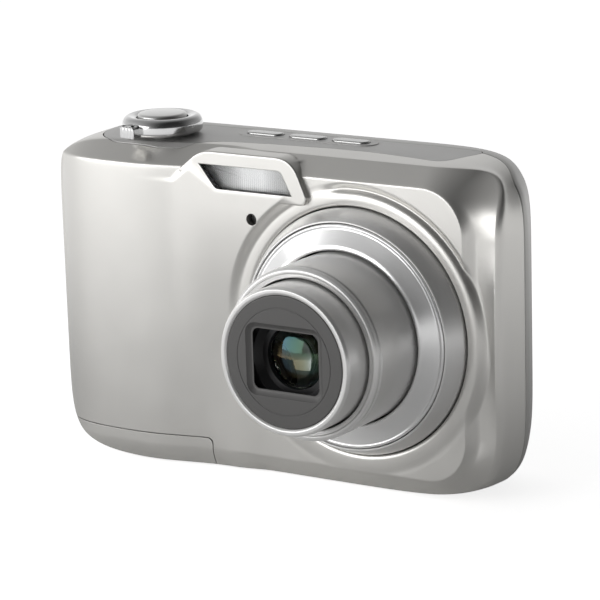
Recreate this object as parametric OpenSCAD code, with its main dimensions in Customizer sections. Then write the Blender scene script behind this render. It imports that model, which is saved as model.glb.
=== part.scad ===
// Compact digital camera: telescoping zoom lens, mode dial, two AA cells in the grip.
// Frame: +X to the right seen from the front, +Y to the back, +Z up, millimetres.
// The origin is the mouth of the tripod socket, in the plane that the camera stands on.

/* [Body] */
// Width of the body
body_w = 94; // [93:0.5:102]
// Height of the body without the dial
body_h = 59.2; // [58.6:0.1:61]
// Distance of the rear face behind the origin
rear_y = 13; // [12.8:0.1:14]
// Thickness of the moulded covers
wall = 1.4; // [1.2:0.1:1.6]
// Place of the seam between the covers, along the sides
seam_y = -1.8; // [-3.5:0.1:-1.5]
// Squareness of the upper corners
top_power = 9; // [7:0.5:10]
// Squareness of the lower corners
base_power = 6.5; // [5.5:0.5:8]
// How much each side draws in at the base
base_taper = 0.3; // [0:0.1:1]
// How far the rear draws in on the lens side
rear_draw_lens = 9; // [8.5:0.5:11]
// How far the rear draws in on the grip side
rear_draw_grip = 7; // [6:0.5:8]
// How far the rear draws in above and below
rear_draw_z = 2.2; // [1.8:0.1:3.5]

/* [Front face] */
// Depth of the grip's crest in front of the origin
grip_depth = 12.8; // [12.4:0.1:13.2]
// Place of the grip's crest
grip_x = -28; // [-30:0.5:-26]
// Depth of the hollow between grip and lens
valley_depth = 10.2; // [9.9:0.1:10.5]
// Place of that hollow
valley_x = -9; // [-11:0.5:-8]
// Depth of the raised pad behind the lens
pad_depth = 10.3; // [10:0.1:10.8]
// Margin from the pad to the side of the body
pad_side = 8; // [7.5:0.1:8.5]
// Margin from the pad to the top and base of the body
pad_margin = 3.9; // [3.6:0.1:4.4]
// Depth of the ridge round the front face
ridge_depth = 9.2; // [8.8:0.1:9.6]
// Distance of the ridge in from the side
ridge_in = 2.4; // [2:0.1:3]
// Height of the bevel over the grip
bevel_h = 3.8; // [3.4:0.1:4.2]

/* [Lens] */
// Distance of the lens axis from the middle of the body
lens_x = 18.2; // [17.6:0.1:18.4]
// Height of the lens axis
lens_z = 28.9; // [28.6:0.1:29.4]
// Outer radius of the trim ring round the lens
ring_r = 21.9; // [21.6:0.1:22.3]
// Depth of the front edge of the trim ring
ring_depth = 14.2; // [13.8:0.1:14.6]
// Radial distance from the trim ring's rim to the large barrel
barrel_in_ring = 6.8; // [6.6:0.1:7]
// Depth of the front of the large barrel, extended
barrel_depth = 27.8; // [27:0.1:28.4]
// Radial step from the large barrel to the small one
barrel_step = 2.2; // [2:0.1:2.3]
// Depth of the front of the small barrel, extended
small_depth = 33.3; // [32.8:0.1:33.6]
// Wall of both barrels
barrel_wall = 1.2; // [1:0.1:1.4]
// Travel of the large barrel into the body
barrel_travel = 9.8; // [9:0.1:10]
// Travel of the small barrel into the large one
small_travel = 4.8; // [4.4:0.1:5]
// Width of the window in the front plate, in radii of the small barrel
window_part = 1.16; // [1.1:0.01:1.2]
// Height of that window over its width
window_shape = 0.83; // [0.8:0.01:0.86]

/* [Cells and card] */
// Diameter of an AA cell
cell_d = 14.5; // [14.2:0.1:14.6]
// Length of an AA cell
cell_l = 50.5; // [49.5:0.1:50.5]
// Place of the outer cell
cell_x = -35; // [-35.5:0.1:-34.6]
// Place of the cells from front to back
cell_y = -1.2; // [-1.3:0.1:-1.1]
// Height of the seam round the battery door
door_h = 5.6; // [5.2:0.1:5.8]
// Place of the end of the battery door
door_x = -12.8; // [-13:0.1:-12.6]
// Width of the memory card
card_w = 24; // [23.6:0.1:24.2]
// Length of the memory card
card_l = 32; // [31:0.1:32]
// Thickness of the memory card
card_t = 2.1; // [1.9:0.1:2.1]

/* [Controls] */
// Diameter of the mode dial
dial_d = 14.5; // [14:0.1:15]
// Height of the mode dial
dial_h = 3.2; // [3:0.1:3.4]
// Place of the mode dial along the body
dial_x = -26; // [-27:0.5:-25]
// Place of the mode dial from front to back
dial_y = -3.4; // [-3.8:0.1:-3]
// Diameter of the shutter button
shutter_d = 9.3; // [8.8:0.1:9.6]
// Length of each top button
top_button_l = 7.3; // [7:0.1:7.5]
// Distance between top buttons
top_button_pitch = 9; // [8.8:0.1:9.2]
// Outer diameter of the four-way ring
ring_d = 17; // [16:0.1:17.4]
// Diameter of the round rear buttons
rear_button_d = 5; // [4.6:0.1:5.4]
// Margin from the screen's window to the end of the rear face
screen_margin = 4; // [3.5:0.5:5]
// Height of the screen's window
screen_h = 42; // [40:0.5:43]

/* [Clearances] */
// Gap between a fixed piece and its opening
gap = 0.15; // [0.1:0.05:0.2]
// Radial gap of a shaft in its bore
running = 0.05; // [0.03:0.01:0.08]
// Radial gap between sliding barrels
barrel_gap = 0.35; // [0.3:0.05:0.4]

/* [Hidden] */

// Body outline and moulded surfaces
side_in = 0.6;                    // the sides draw in this far to the seam
half_w = body_w / 2 + side_in + base_taper / 3;
half_h = body_h / 2;
flat_y = 6;                       // the flat top and base end here, towards the back
around = 84;                      // stations round the outline
lip_depth = ring_depth - 3.8;     // front of the moulded collar round the trim ring
hole_r = ring_r + 0.2;            // hole of the front cover
lip_r = hole_r + 0.7;
flare_r = hole_r + 3.6;           // foot of the collar
flare_depth = pad_depth - 0.2;
ridge_top_in = 0.5;
bevel_slope = 1.3;
crown = 0.35;                     // the side is widest between the ridge and the seam
pad_r = 8;                        // corner of the raised pad
rear_draws = [0, 0.035, 0.15, 0.3, 0.47, 0.67, 0.87, 1];      // share of the draw at each ring
rear_depths = [0, 0.12, 0.28, 0.47, 0.67, 0.85, 0.967, 1];    // share of the way to the rear face
rear_rings = len(rear_draws);
bore_fn = 96;

// Flash, lamp and the bright strip on the end of the grip
flash_front = 11.3;
flash_back = 7.4;
lamp_x = -2;
lamp_z = 47.1;
lamp_r = 0.9;
trim_z0 = 8.5;
trim_z1 = 43;
trim_depth = 4.6;

// Base: tripod bush, speaker, connector and screws
bush_r = 4.5;
bush_flange = bush_r + 1.2;
socket_r = 2.55;                  // quarter-inch thread
socket_l = 4.5;
speaker_x = 11.5;
speaker_r = 4;
usb_x = 30;
usb_w = 9;
usb_l = 6;
usb_pin_r = 0.4;
usb_knuckle_r = 0.75;
usb_pin_x = usb_x - usb_w / 2 + 1;
usb_pin_z = 0.85;
screw_r = 0.8;
screw_head = 1.5;
screw_sink = 0.45;
base_spots = [[-8.5, -4.5], [9.5, -5.5], [22.8, -1.5]];

// Strap post, in the rear of the grip's end
strap_z = 46;
strap_h = 7;
strap_y = 2.8;

// Lens
barrel_r = ring_r - barrel_in_ring;
small_r = barrel_r - barrel_step;
window_w = small_r * window_part;
window_h = window_w * window_shape;
dish_r = ring_r - 2.1;            // the polished dish lies inside the trim ring
dish_depth = ring_depth + 1.4;
seat_depth = ring_depth - 4.8;                  // flange that carries the trim ring
cam_in = barrel_r + barrel_gap;
cam_out = cam_in + 1.5;
base_in = cam_out + 0.35;
base_out = base_in + 1.3;
cam_teeth = 72;
drive_teeth = 12;
pinion_teeth = 8;
gear_module = 2 * (cam_out + 1.05) / cam_teeth;
cam_pitch = gear_module * cam_teeth / 2;
drive_pitch = gear_module * drive_teeth / 2;
pinion_pitch = gear_module * pinion_teeth / 2;
mesh_gap = 0.1;
gear_angle = 220;                 // the drive lies below the lens, on the grip side
drive_reach = cam_pitch + drive_pitch + mesh_gap;
motor_reach = drive_reach + drive_pitch + pinion_pitch + mesh_gap;
gear_y = 1.4;
gear_t = 2;
gear_house = cam_pitch + 1;       // inside radius of the base round the gear rim
small_in = small_r - barrel_wall;
barrel_in = barrel_r - barrel_wall;
plate_t = 1;
plate_r = small_in - 0.2;
lens_back_y = 4.2;                // inside of the lens base's rear plate
barrel_back = barrel_travel - lens_back_y + 0.4;        // depth of the rear of each barrel, extended
small_back = barrel_back + small_travel + 9.2;
shaft_pin = 0.75;
sensor_hole = 6.1;
lug_angles = [68, 145, 270];      // three lugs screw the lens base to the cover
lug_reach = ring_r + 1.9;
lug_r = 2;
lug_bore = 0.7;
lug_y = 0.8;
boss_depth = 9.2;
glass_r = small_r * 0.43;
leaf_w = window_w - 1;            // leaves of the lens barrier
leaf_h = 2.97;
leaf_t = 0.25;
leaf_open = window_h / 2 - 0.8;

// Cells and door
cell_pitch = cell_d + 0.1;
spring_z = 2.4;                   // springs under the cells, seated in the door
spring_r = 2;
cell_z = spring_z + 1.75;
holder_r = cell_d / 2 + 0.65;
chamber_r = cell_d / 2 + gap;
holder_z = 7.5;
holder_top = cell_z + cell_l - 2;
cell_top = cell_z + cell_l;
slot_y = cell_y + holder_r;       // the card lies behind the cells
slot_wall = 0.3;
card_x = door_x - 0.4 - card_w / 2;
card_z = door_h + 1.4;
hinge_y = 9.8;
hinge_z = 1.8;
hinge_r = 1;
hinge_out = 1.85;                 // the door's rear edge is round about the hinge
pin_r = 0.55;
door_rear = hinge_y - 0.6;
door_slide = 2;
knuckles = [[-30, -26.6], [-21.8, -18]];
hinge_lugs = [[-26.2, -24.2], [-17.6, -14]];

// Controls
top_z = body_h;
shaft_r = 1.9;
shaft_low = top_z - 2.1;          // lower end of the dial's shaft
stem_r = 1.05;
clip_r = shaft_r + 0.8;           // clip that holds the dial under the top wall
clip_t = 0.4;
tab_angle = -115;
tab_reach = dial_d / 2 + 1.9;
dial_z = top_z + 0.3;
board_top = top_z - wall - 1.7;
buttons_x = 1;
buttons_y = 2.9;
button_w = 2.6;
button_rise = 0.5;
rear_button_rise = 0.5;
pad_x = -29.3;
pad_z = 25;
ok_d = 7;
rear_buttons = [for (z = [41, 12.4]) for (i = [1, -1]) [pad_x + i * 4.3, z]];
rocker_z = 50;
rocker_l = 15;
rocker_w = 4.6;
screen_left = pad_x + ring_d / 2 + 2.4;
screen_w = half_w - rear_draw_lens - screen_margin - screen_left;
screen_x = screen_left + screen_w / 2;
screen_z = 29.5;
rear_in = rear_y - wall;          // inside of the rear wall
board_t = 0.8;
key_y = rear_in - 1.8;            // board under the rear buttons
panel_y = rear_in - 1.5;          // front of the screen panel
main_y = panel_y - 2.2;           // main board behind the lens
sensor_y = lens_back_y + 1;       // rear of the lens base, which carries the sensor
button_in = rear_in - 0.25;
motor_r = 4.4;
cap_r = 4;
cap_x = -8.1;
sensor_board_w = 26;
sensor_board_h = 20;
key_board_w = 15;
key_board_h = 43;
top_board_l = top_button_pitch * 3 + 5.6;
pivot_y = rear_in - 0.42;         // pins of the rocker and of the four-way ring
pivot_r = 0.35;

// ---- outline and surface functions ----

// Angle of station j: stations crowd towards the corners
function station(j) = let(u = 360 * j / around) u + 0.55 * sin(4 * u) * 45 / PI;

// Point [x, z] of the outline at station j: a superellipse that narrows to the base
function outline(j) =
    let(t = station(j), p = atan2(half_h * sin(t), half_w * cos(t)),
        n = sin(t) >= 0 ? top_power : base_power,
        r = 1 / pow(pow(abs(cos(p)) / half_w, n) + pow(abs(sin(p)) / half_h, n), 1 / n),
        z = half_h + r * sin(p))
    [r * cos(p) * (1 - base_taper / half_w * (1 - z / body_h)), z];

// The outline drawn in by dx at the sides and dz above and below
function drawn(j, dx, dz) =
    let(q = outline(j)) [q[0] * (1 - dx / half_w), half_h + (q[1] - half_h) * (1 - dz / half_h)];

function smooth(t) = let(c = max(0, min(1, t))) c * c * (3 - 2 * c);
function mix(a, b, t) = a + (b - a) * t;

// The seam runs straight along the sides and swings back above and below
function seam_at(j) =
    let(q = abs(outline(j)[1] - half_h) / half_h, t = max(0, (q - 0.86) / 0.14))
    seam_y + (flat_y - seam_y) * t * t;

// Depth of the grip and the hollow beside it
function grip_at(x) =
    x < grip_x ? let(q = min(0.985, (grip_x - x) / (half_w + grip_x)))
        -seam_y + (grip_depth + seam_y) * pow(1 - pow(q, 3), 1 / 2.2)
    : x < valley_x ? mix(grip_depth, valley_depth,
        (1 - cos(180 * (x - grip_x) / (valley_x - grip_x))) / 2)
    : mix(valley_depth, pad_depth, smooth((x - valley_x) / 8));

// Distance outside the raised pad, and the direction of the nearest edge
function pad_away(x, z) =
    let(dx = x - (half_w - pad_side - pad_r), dz = abs(z - half_h) - (half_h - pad_margin - pad_r))
    norm([max(0, dx), max(0, dz)]) - pad_r;
function pad_turn(x, z) =
    let(dx = max(0.001, x - (half_w - pad_side - pad_r)),
        dz = max(0, abs(z - half_h) - (half_h - pad_margin - pad_r))) atan2(dz, dx) / 90;

// Fall from the pad to the ridge, hollow at the side and steeper above
function pad_fall(x, z) =
    let(k = x < valley_x + 6 ? 1 : pad_turn(x, z),
        w = mix(pad_side - ridge_in, pad_margin - ridge_top_in, k),
        t = max(0, min(1, pad_away(x, z) / w)),
        low = pad_depth - ridge_depth + 0.3,
        side = low * smooth(t * 2) - 0.3 * smooth(t * 2 - 1),
        above = (z > half_h ? 3.3 : 1.6) * t)
    mix(side, above, k);

// Depth of the front face at [x, z]
function face_at(x, z) =
    let(s = smooth((x - valley_x) / 8),
        bevel = max(0, z - (body_h - bevel_h)) * bevel_slope,
        foot = 0.14 * pow(max(0, 4 - z), 2))
    mix(grip_at(x) - bevel - foot * 0.6, grip_at(x) - pad_fall(x, z), s);

// Ring of the front face, s from the foot of the collar to the ridge
function face_point(j, s) =
    let(e = drawn(j, ridge_in, ridge_top_in), a = atan2(e[1] - lens_z, e[0] - lens_x),
        f = [lens_x + flare_r * cos(a), lens_z + flare_r * sin(a)],
        p = mix(f, e, s))
    [p[0], -face_at(p[0], p[1]), p[1]];

// Ring of the inside of the front wall, s from the collar to the side wall
function back_point(j, s) =
    let(e = drawn(j, ridge_in + 0.8 * wall, ridge_top_in + 0.6 * wall),
        a = atan2(e[1] - lens_z, e[0] - lens_x), r = flare_r - 1.2 * wall,
        p = mix([lens_x + r * cos(a), lens_z + r * sin(a)], e, s))
    [p[0], -face_at(p[0], p[1]) + wall, p[1]];

// Ring round the lens at radius r and depth d
function lens_point(j, r, d) =
    let(e = drawn(j, ridge_in, ridge_top_in), a = atan2(e[1] - lens_z, e[0] - lens_x))
    [lens_x + r * cos(a), -d, lens_z + r * sin(a)];

// Ring of the side wall, drawn in by dx and dz, t from the ridge to the seam
function side_point(j, dx, dz, t) =
    let(e = drawn(j, dx, dz), r = face_point(j, 1)) [e[0], mix(r[1], seam_at(j), t), e[1]];

// Ring k of the rear cover, from the seam to the rear face
function rear_draw(x) = mix(rear_draw_grip, rear_draw_lens, smooth((x + half_w) / body_w));
function rear_point(j, k, inner = 0) =
    let(u = rear_draws[k], v = rear_depths[k], q = outline(j),
        e = drawn(j, side_in + inner + rear_draw(q[0]) * u, inner + rear_draw_z * u * u))
    [e[0], mix(seam_at(j), rear_y - inner, v), e[1]];

// Closed skin over rings of points: each quad is cut into two triangles
function skin(rings, closed) =
    [for (i = [0 : rings - (closed ? 1 : 2)]) for (j = [0 : around - 1])
        let(a = i * around + j, b = i * around + (j + 1) % around,
            c = ((i + 1) % rings) * around + (j + 1) % around,
            d = ((i + 1) % rings) * around + j)
        each [[a, b, c], [a, c, d]]];
function cap(ring, centre, flip) =
    [for (j = [0 : around - 1])
        let(a = ring * around + j, b = ring * around + (j + 1) % around)
        flip ? [b, a, centre] : [a, b, centre]];

// Corner of a polygon rounded to radius r, as points of an arc
function corner(p, q, s, r, steps) =
    let(u = (p - q) / norm(p - q), v = (s - q) / norm(s - q), half = acos(u * v) / 2,
        t = r / tan(half), c = q + (u + v) / norm(u + v) * r / sin(half),
        a = q + u * t - c, b = q + v * t - c,
        from = atan2(a[1], a[0]), turn = atan2(a[0] * b[1] - a[1] * b[0], a * b))
    [for (i = [0 : steps]) c + r * [cos(from + turn * i / steps), sin(from + turn * i / steps)]];
function rounded(points, r, steps = 6) =
    let(n = len(points))
    [for (i = [0 : n - 1]) each corner(points[(i + n - 1) % n], points[i], points[(i + 1) % n], r, steps)];

// ---- helpers ----

// Draws along the lens axis: heights grow towards the front
module on_lens_axis() {
    translate([lens_x, 0, lens_z]) rotate([90, 0, 0]) children();
}

// Extrudes an [x, z] drawing from y0 to y1
module along_y(y0, y1) {
    translate([0, y1, 0]) rotate([90, 0, 0]) linear_extrude(y1 - y0) children();
}

// Straight strip with round ends, along X
module strip(l, w) {
    translate([-(l - w) / 2, 0]) circle(d = w, $fn = 48);
    translate([(l - w) / 2, 0]) circle(d = w, $fn = 48);
    square([l - w, w], center = true);
}

// Rectangle with round corners
module round_rect(w, h, r) {
    square([w - 2 * r, h], center = true);
    square([w, h - 2 * r], center = true);
    for (x = [-1, 1]) for (z = [-1, 1])
        translate([x * (w / 2 - r), z * (h / 2 - r)]) circle(r, $fn = 48);
}

// Tube along the lens axis between two depths
module lens_tube(r_out, r_in, d0, d1) {
    on_lens_axis() translate([0, 0, d0]) difference() {
        cylinder(r = r_out, h = d1 - d0, $fn = bore_fn);
        translate([0, 0, -1]) cylinder(r = r_in, h = d1 - d0 + 2, $fn = bore_fn);
    }
}

// Spur gear with straight-sided teeth, bored
module gear(teeth, t, bore, phase = 0) {
    r = gear_module * teeth / 2;
    step = 360 / teeth;
    linear_extrude(t) difference() {
        polygon([for (i = [0 : teeth - 1])
            for (k = [[-0.33, -0.55], [-0.12, 0.35], [0.12, 0.35], [0.33, -0.55]])
            let(a = (i + k[0]) * step + phase) (r + k[1]) * [cos(a), sin(a)]]);
        circle(bore, $fn = bore_fn);
    }
}

// Whole outer form, from the front face to the rear face
module outer_form() {
    fronts = [0.5, 1];
    rows = concat(
        [for (s = fronts) [for (j = [0 : around - 1]) face_point(j, s)]],
        [[for (j = [0 : around - 1]) side_point(j, ridge_in * 0.55, crown, 0.12)]],
        [[for (j = [0 : around - 1]) side_point(j, side_in + 0.3, 0, 0.55)]],
        [for (k = [0 : rear_rings - 1]) [for (j = [0 : around - 1]) rear_point(j, k)]]);
    last = len(rows);
    polyhedron(
        points = concat([for (r = rows) each r], [[lens_x, -pad_depth, lens_z], [0, rear_y, half_h]]),
        faces = concat(skin(last, false), cap(0, last * around, true),
            cap(last - 1, last * around + 1, false)));
}

// Room inside the covers above the grip and the lens, under the top wall
module under_top(d) {
    along_y(-14, rear_y + 4)
        polygon([for (j = [0 : around - 1]) drawn(j, d, d)]);
}

// Plan of the top cover: a nose round the dial, a straight front edge, a swept end
module top_plan(grow) {
    nose = -9.2;
    p = [[-40.5 - grow, flat_y + grow], [-38.5 - grow, -5 - grow], [-34 - grow, nose - grow],
        [-19.5, nose - grow], [-13.5, -4 - grow], [16, -2.2 - grow], [33, -4.4 - grow],
        [35.4 + grow, flat_y + grow]];
    translate([0, 0, half_h]) linear_extrude(half_h + 3) polygon(rounded(p, 2.2 + grow, 4));
}

// Space of the battery door: the lower end of the grip
module door_room(grow) {
    translate([-half_w - 2, -grip_depth - 4, -2])
        cube([half_w + 2 + door_x + grow, grip_depth + 4 + door_rear + grow, 2 + door_h + grow]);
    translate([-half_w - 2, hinge_y, hinge_z]) rotate([0, 90, 0])
        cylinder(r = hinge_out + grow, h = half_w + 2 + door_x + grow, $fn = 64);
}

// Outline of the window of the flash, leaning with its bezel
function flash_points(grow) = [
    [-13.4 - grow, body_h - 2.8 + grow], [4.4 + grow * 0.6, body_h - 2.8 + grow],
    [6.9 + grow * 1.4, body_h - 7.5 - grow], [-9.5 - grow * 0.6, body_h - 7.5 - grow]];

// ---- covers ----

module front_cover() {
    faces = [0.12, 0.28, 0.46, 0.64, 0.8, 0.92, 1];
    collar = [[hole_r, lip_depth - 3.6], [hole_r, lip_depth - 0.4], [hole_r + 0.3, lip_depth - 0.1],
        [lip_r, lip_depth], [lip_r + 0.8, lip_depth - 0.05], [lip_r + 1.6, lip_depth - 0.2],
        [flare_r - 0.7, flare_depth]];
    backs = [1, 0.86, 0.68, 0.46, 0.23, 0];
    rows = concat(
        [for (b = collar) [for (j = [0 : around - 1]) lens_point(j, b[0], b[1])]],
        [for (s = faces) [for (j = [0 : around - 1]) face_point(j, s)]],
        [[for (j = [0 : around - 1]) side_point(j, ridge_in * 0.55, crown, 0.12)]],
        [[for (j = [0 : around - 1]) side_point(j, side_in + 0.3, 0, 0.55)]],
        [[for (j = [0 : around - 1]) side_point(j, side_in, 0, 1)]],
        [[for (j = [0 : around - 1]) side_point(j, side_in + wall, wall, 1)]],
        [for (s = backs) [for (j = [0 : around - 1]) back_point(j, s)]]);
    color([0.80, 0.79, 0.76]) {
        difference() {
            union() {
                polyhedron(points = [for (r = rows) each r], faces = skin(len(rows), true));
                flash_brow();
            }
            difference() {
                top_plan(gap);
                under_top(wall);
            }
            door_room(gap);
            along_y(-14, -5) polygon(rounded(flash_points(gap), 1, 4));
            translate([lamp_x, -5, lamp_z]) rotate([90, 0, 0]) cylinder(r = lamp_r + gap, h = 10, $fn = 32);
            trim_room(gap);
            control_room();
            base_room();
            cell_room();
        }
        cover_bosses();
    }
}

// Room under the top cover for the dial's clip and the flanges of the buttons
module control_room() {
    translate([dial_x, dial_y, shaft_low - clip_t - gap]) cylinder(r = clip_r + gap, h = 4, $fn = 48);
    translate([buttons_x, buttons_y, board_top]) linear_extrude(3)
        strip(top_button_pitch * 3 + 4.8, button_w + 1.4);
}

// Openings in the base: bush, speaker, connector and screws
module base_room() {
    translate([0, 0, -1]) cylinder(r = bush_r + gap, h = 6, $fn = 64);
    translate([0, 0, wall]) cylinder(r = bush_flange + gap, h = 4, $fn = 64);
    translate([speaker_x, 0, wall]) cylinder(r = speaker_r + gap, h = 4, $fn = 64);
    for (a = [0 : 60 : 300]) translate([speaker_x, 0, -1]) rotate([0, 0, a])
        translate([2, 0, 0]) cylinder(r = 0.5, h = 4, $fn = 24);
    for (p = base_spots) translate([p[0], p[1], -1]) {
        cylinder(r = screw_r + gap, h = 5.4, $fn = 32);
        cylinder(r = screw_head + gap, h = 1.9, $fn = 32);
    }
    usb_room(gap);
    usb_pin(usb_pin_r + running, usb_l + 2);
}

// Opening of the connector cover in the base
module usb_room(grow) {
    translate([usb_x - usb_w / 2 - grow, -usb_l / 2 - grow, -1])
        cube([usb_w + 2 * grow, usb_l + 2 * grow, 4]);
}

// Bezel that stands round the flash window
module flash_brow() {
    outer = [[-17.6, body_h - 4.6], [-12.6, body_h - 0.6], [7.6, body_h - 0.6],
        [9.6, body_h - 7.6], [8.8, body_h - 8.8], [-10.8, body_h - 8.8]];
    along_y(-flash_front - 0.1, -flash_back) polygon(rounded(outer, 0.9, 4));
}

// Bosses inside the front cover that take the lens base's screws
module cover_bosses() {
    for (a = lug_angles)
        on_lens_axis() rotate([0, 0, a]) translate([lug_reach, 0, -lug_y]) difference() {
            cylinder(r = lug_r, h = lug_y + boss_depth, $fn = 32);
            translate([0, 0, -1]) cylinder(r = lug_bore, h = lug_y + 4, $fn = 32);
        }
}

// Recess of the bright strip on the end of the grip
module trim_room(grow) {
    c = (trim_z0 + trim_z1) / 2;
    h = (trim_z1 - trim_z0) / 2 + grow;
    translate([-half_w - 1, seam_y, c]) rotate([90, 0, 90]) linear_extrude(3.4 + base_taper)
        polygon([for (i = [-8 : 8]) [-(trim_depth + grow) * (1 - pow(abs(i / 8), 2.5)), h * i / 8]]);
}

module rear_cover() {
    inner = [7, 5, 3, 1, 0];
    rows = concat(
        [for (k = [0 : rear_rings - 1]) [for (j = [0 : around - 1]) rear_point(j, k)]],
        [for (k = inner) [for (j = [0 : around - 1]) rear_point(j, k, wall)]]);
    n = len(rows);
    last = (n - 1) * around;
    // the rear face and the inside are closed by fans, and the seam joins the two
    color([0.62, 0.62, 0.61]) {
        difference() {
            polyhedron(
                points = concat([for (r = rows) each r], [[0, rear_y, half_h], [0, rear_in, half_h]]),
                faces = concat(
                    skin(rear_rings, false),
                    [for (f = skin(len(inner), false)) f + [1, 1, 1] * rear_rings * around],
                    cap(rear_rings - 1, n * around, false), cap(rear_rings, n * around + 1, true),
                    [for (j = [0 : around - 1]) let(k = (j + 1) % around)
                        each [[last + j, last + k, k], [last + j, k, j]]]));
            difference() {
                top_plan(gap);
                under_top(wall);
            }
            door_room(gap);
            along_y(rear_in - 1, rear_y + 1) {
                translate([screen_x, screen_z]) round_rect(screen_w + 2 * gap, screen_h + 2 * gap, 1.5);
                translate([pad_x, pad_z]) circle(d = ring_d + 2 * gap, $fn = 72);
                for (p = rear_buttons) translate(p) circle(d = rear_button_d + 2 * gap, $fn = 48);
                translate([pad_x, rocker_z]) strip(rocker_l + 4 * gap, rocker_w + 4 * gap);
            }
            cell_room();
            usb_room(gap);
            strap_room(gap);
        }
        rear_lugs();
    }
}

// Lugs from the rear wall that carry the door's pin
module rear_lugs() {
    for (k = hinge_lugs) difference() {
        union() {
            translate([k[0], hinge_y, hinge_z]) rotate([0, 90, 0])
                cylinder(r = hinge_r, h = k[1] - k[0], $fn = 48);
            translate([k[0], hinge_y - 0.5, hinge_z])
                cube([k[1] - k[0], hinge_out + 0.5, door_h - hinge_z + 0.4]);
        }
        translate([k[0] - 1, hinge_y, hinge_z]) rotate([0, 90, 0])
            cylinder(r = pin_r + running, h = k[1] - k[0] + 2, $fn = 48);
    }
}

// Space of the two cells
module cell_room() {
    for (i = [0, 1]) translate([cell_x + i * cell_pitch, cell_y, 3])
        cylinder(r = chamber_r, h = cell_top - 2.4, $fn = bore_fn);
}

// Pocket of the strap post, in the rear of the grip's end
module strap_room(grow) {
    translate([-half_w - 1, strap_y - 2.4 - grow, strap_z - strap_h / 2 - grow])
        cube([7.2, 4.8 + 2 * grow, strap_h + 2 * grow]);
}

module top_cover() {
    color([0.72, 0.72, 0.71]) {
        difference() {
            intersection() {
                outer_form();
                top_plan(0);
            }
            under_top(wall);
            translate([dial_x, dial_y, half_h]) cylinder(r = shaft_r + running, h = half_h + 4, $fn = 48);
            for (i = [-1 : 1]) translate([buttons_x + i * top_button_pitch, buttons_y, half_h])
                linear_extrude(half_h + 4) strip(top_button_l + 2 * gap, button_w + 2 * gap);
        }
        for (i = [-1, 1]) translate([buttons_x + i * (top_button_pitch * 1.5 + 1.2), buttons_y, board_top])
            cylinder(r = 1, h = top_z - wall - board_top, $fn = 32);
        difference() {
            translate([buttons_x, buttons_y, top_z - 0.2]) linear_extrude(0.35)
                strip(top_button_pitch * 3 + 1.6, button_w + 2.2);
            for (i = [-1 : 1]) translate([buttons_x + i * top_button_pitch, buttons_y, half_h])
                linear_extrude(half_h + 4) strip(top_button_l + 2 * gap, button_w + 2 * gap);
        }
    }
}

module grip_trim() {
    color([0.9, 0.9, 0.9]) intersection() {
        trim_room(-0.1);
        difference() {
            outer_form();
            under_top(wall + 0.4);
        }
    }
}

// ---- fixed pieces inside the covers ----

// Post for the wrist strap, standing in its pocket
module strap_post() {
    h = strap_h - 0.1;
    color([0.7, 0.7, 0.7]) translate([-half_w, strap_y, strap_z]) {
        translate([3.1, 0, -h / 2]) cylinder(r = 0.8, h = h, $fn = 48);
        for (z = [-h / 2, h / 2 - 0.8]) translate([2.3, -1.2, z]) cube([2.2, 2.4, 0.8]);
        translate([4, -2.2, -h / 2]) cube([0.8, 4.4, h]);
    }
}

module flash_window() {
    color([0.85, 0.87, 0.88]) along_y(-flash_front, -flash_front + 1.2)
        polygon(rounded(flash_points(0), 0.9, 4));
}

module flash_reflector() {
    color([0.9, 0.9, 0.88]) difference() {
        along_y(-flash_front + 1.3, -6.2) polygon(rounded(flash_points(-0.1), 0.9, 4));
        along_y(-flash_front + 1, -6.8) polygon(rounded(flash_points(-0.7), 0.6, 4));
    }
}

module flash_tube() {
    color([0.95, 0.95, 0.9]) translate([-8.4, -7.9, body_h - 5]) rotate([0, 90, 0])
        cylinder(r = 0.9, h = 12.6, $fn = 48);
}

module flash_capacitor() {
    color([0.15, 0.15, 0.2]) translate([cap_x, -2.6, 19]) cylinder(r = cap_r, h = body_h - 29.2, $fn = 64);
}

module lamp_window() {
    color([0.1, 0.1, 0.1]) translate([lamp_x, -7.6, lamp_z]) rotate([90, 0, 0])
        cylinder(r = lamp_r, h = pad_depth - 7.5, $fn = 48);
}

module lens_trim_ring() {
    d = ring_depth;
    color([0.78, 0.78, 0.77]) on_lens_axis() rotate_extrude($fn = bore_fn)
        polygon([[dish_r + 0.15, seat_depth], [ring_r, seat_depth], [ring_r, d - 3.5],
            [ring_r - 0.15, d - 3.2], [ring_r - 1.5, d - 0.15], [ring_r - 1.7, d],
            [dish_r + 0.15, d - 0.1]]);
}

module lens_trim_dish() {
    d = dish_depth;
    color([0.9, 0.9, 0.9]) on_lens_axis() rotate_extrude($fn = bore_fn)
        polygon([[cam_in, d - 3.5], [dish_r, d - 3.5], [dish_r, d - 1.6], [dish_r - 0.25, d - 1.35],
            [dish_r - 0.7, d - 1.5], [cam_in + 0.7, d - 0.15], [cam_in + 0.3, d], [cam_in, d - 0.2]]);
}

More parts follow.
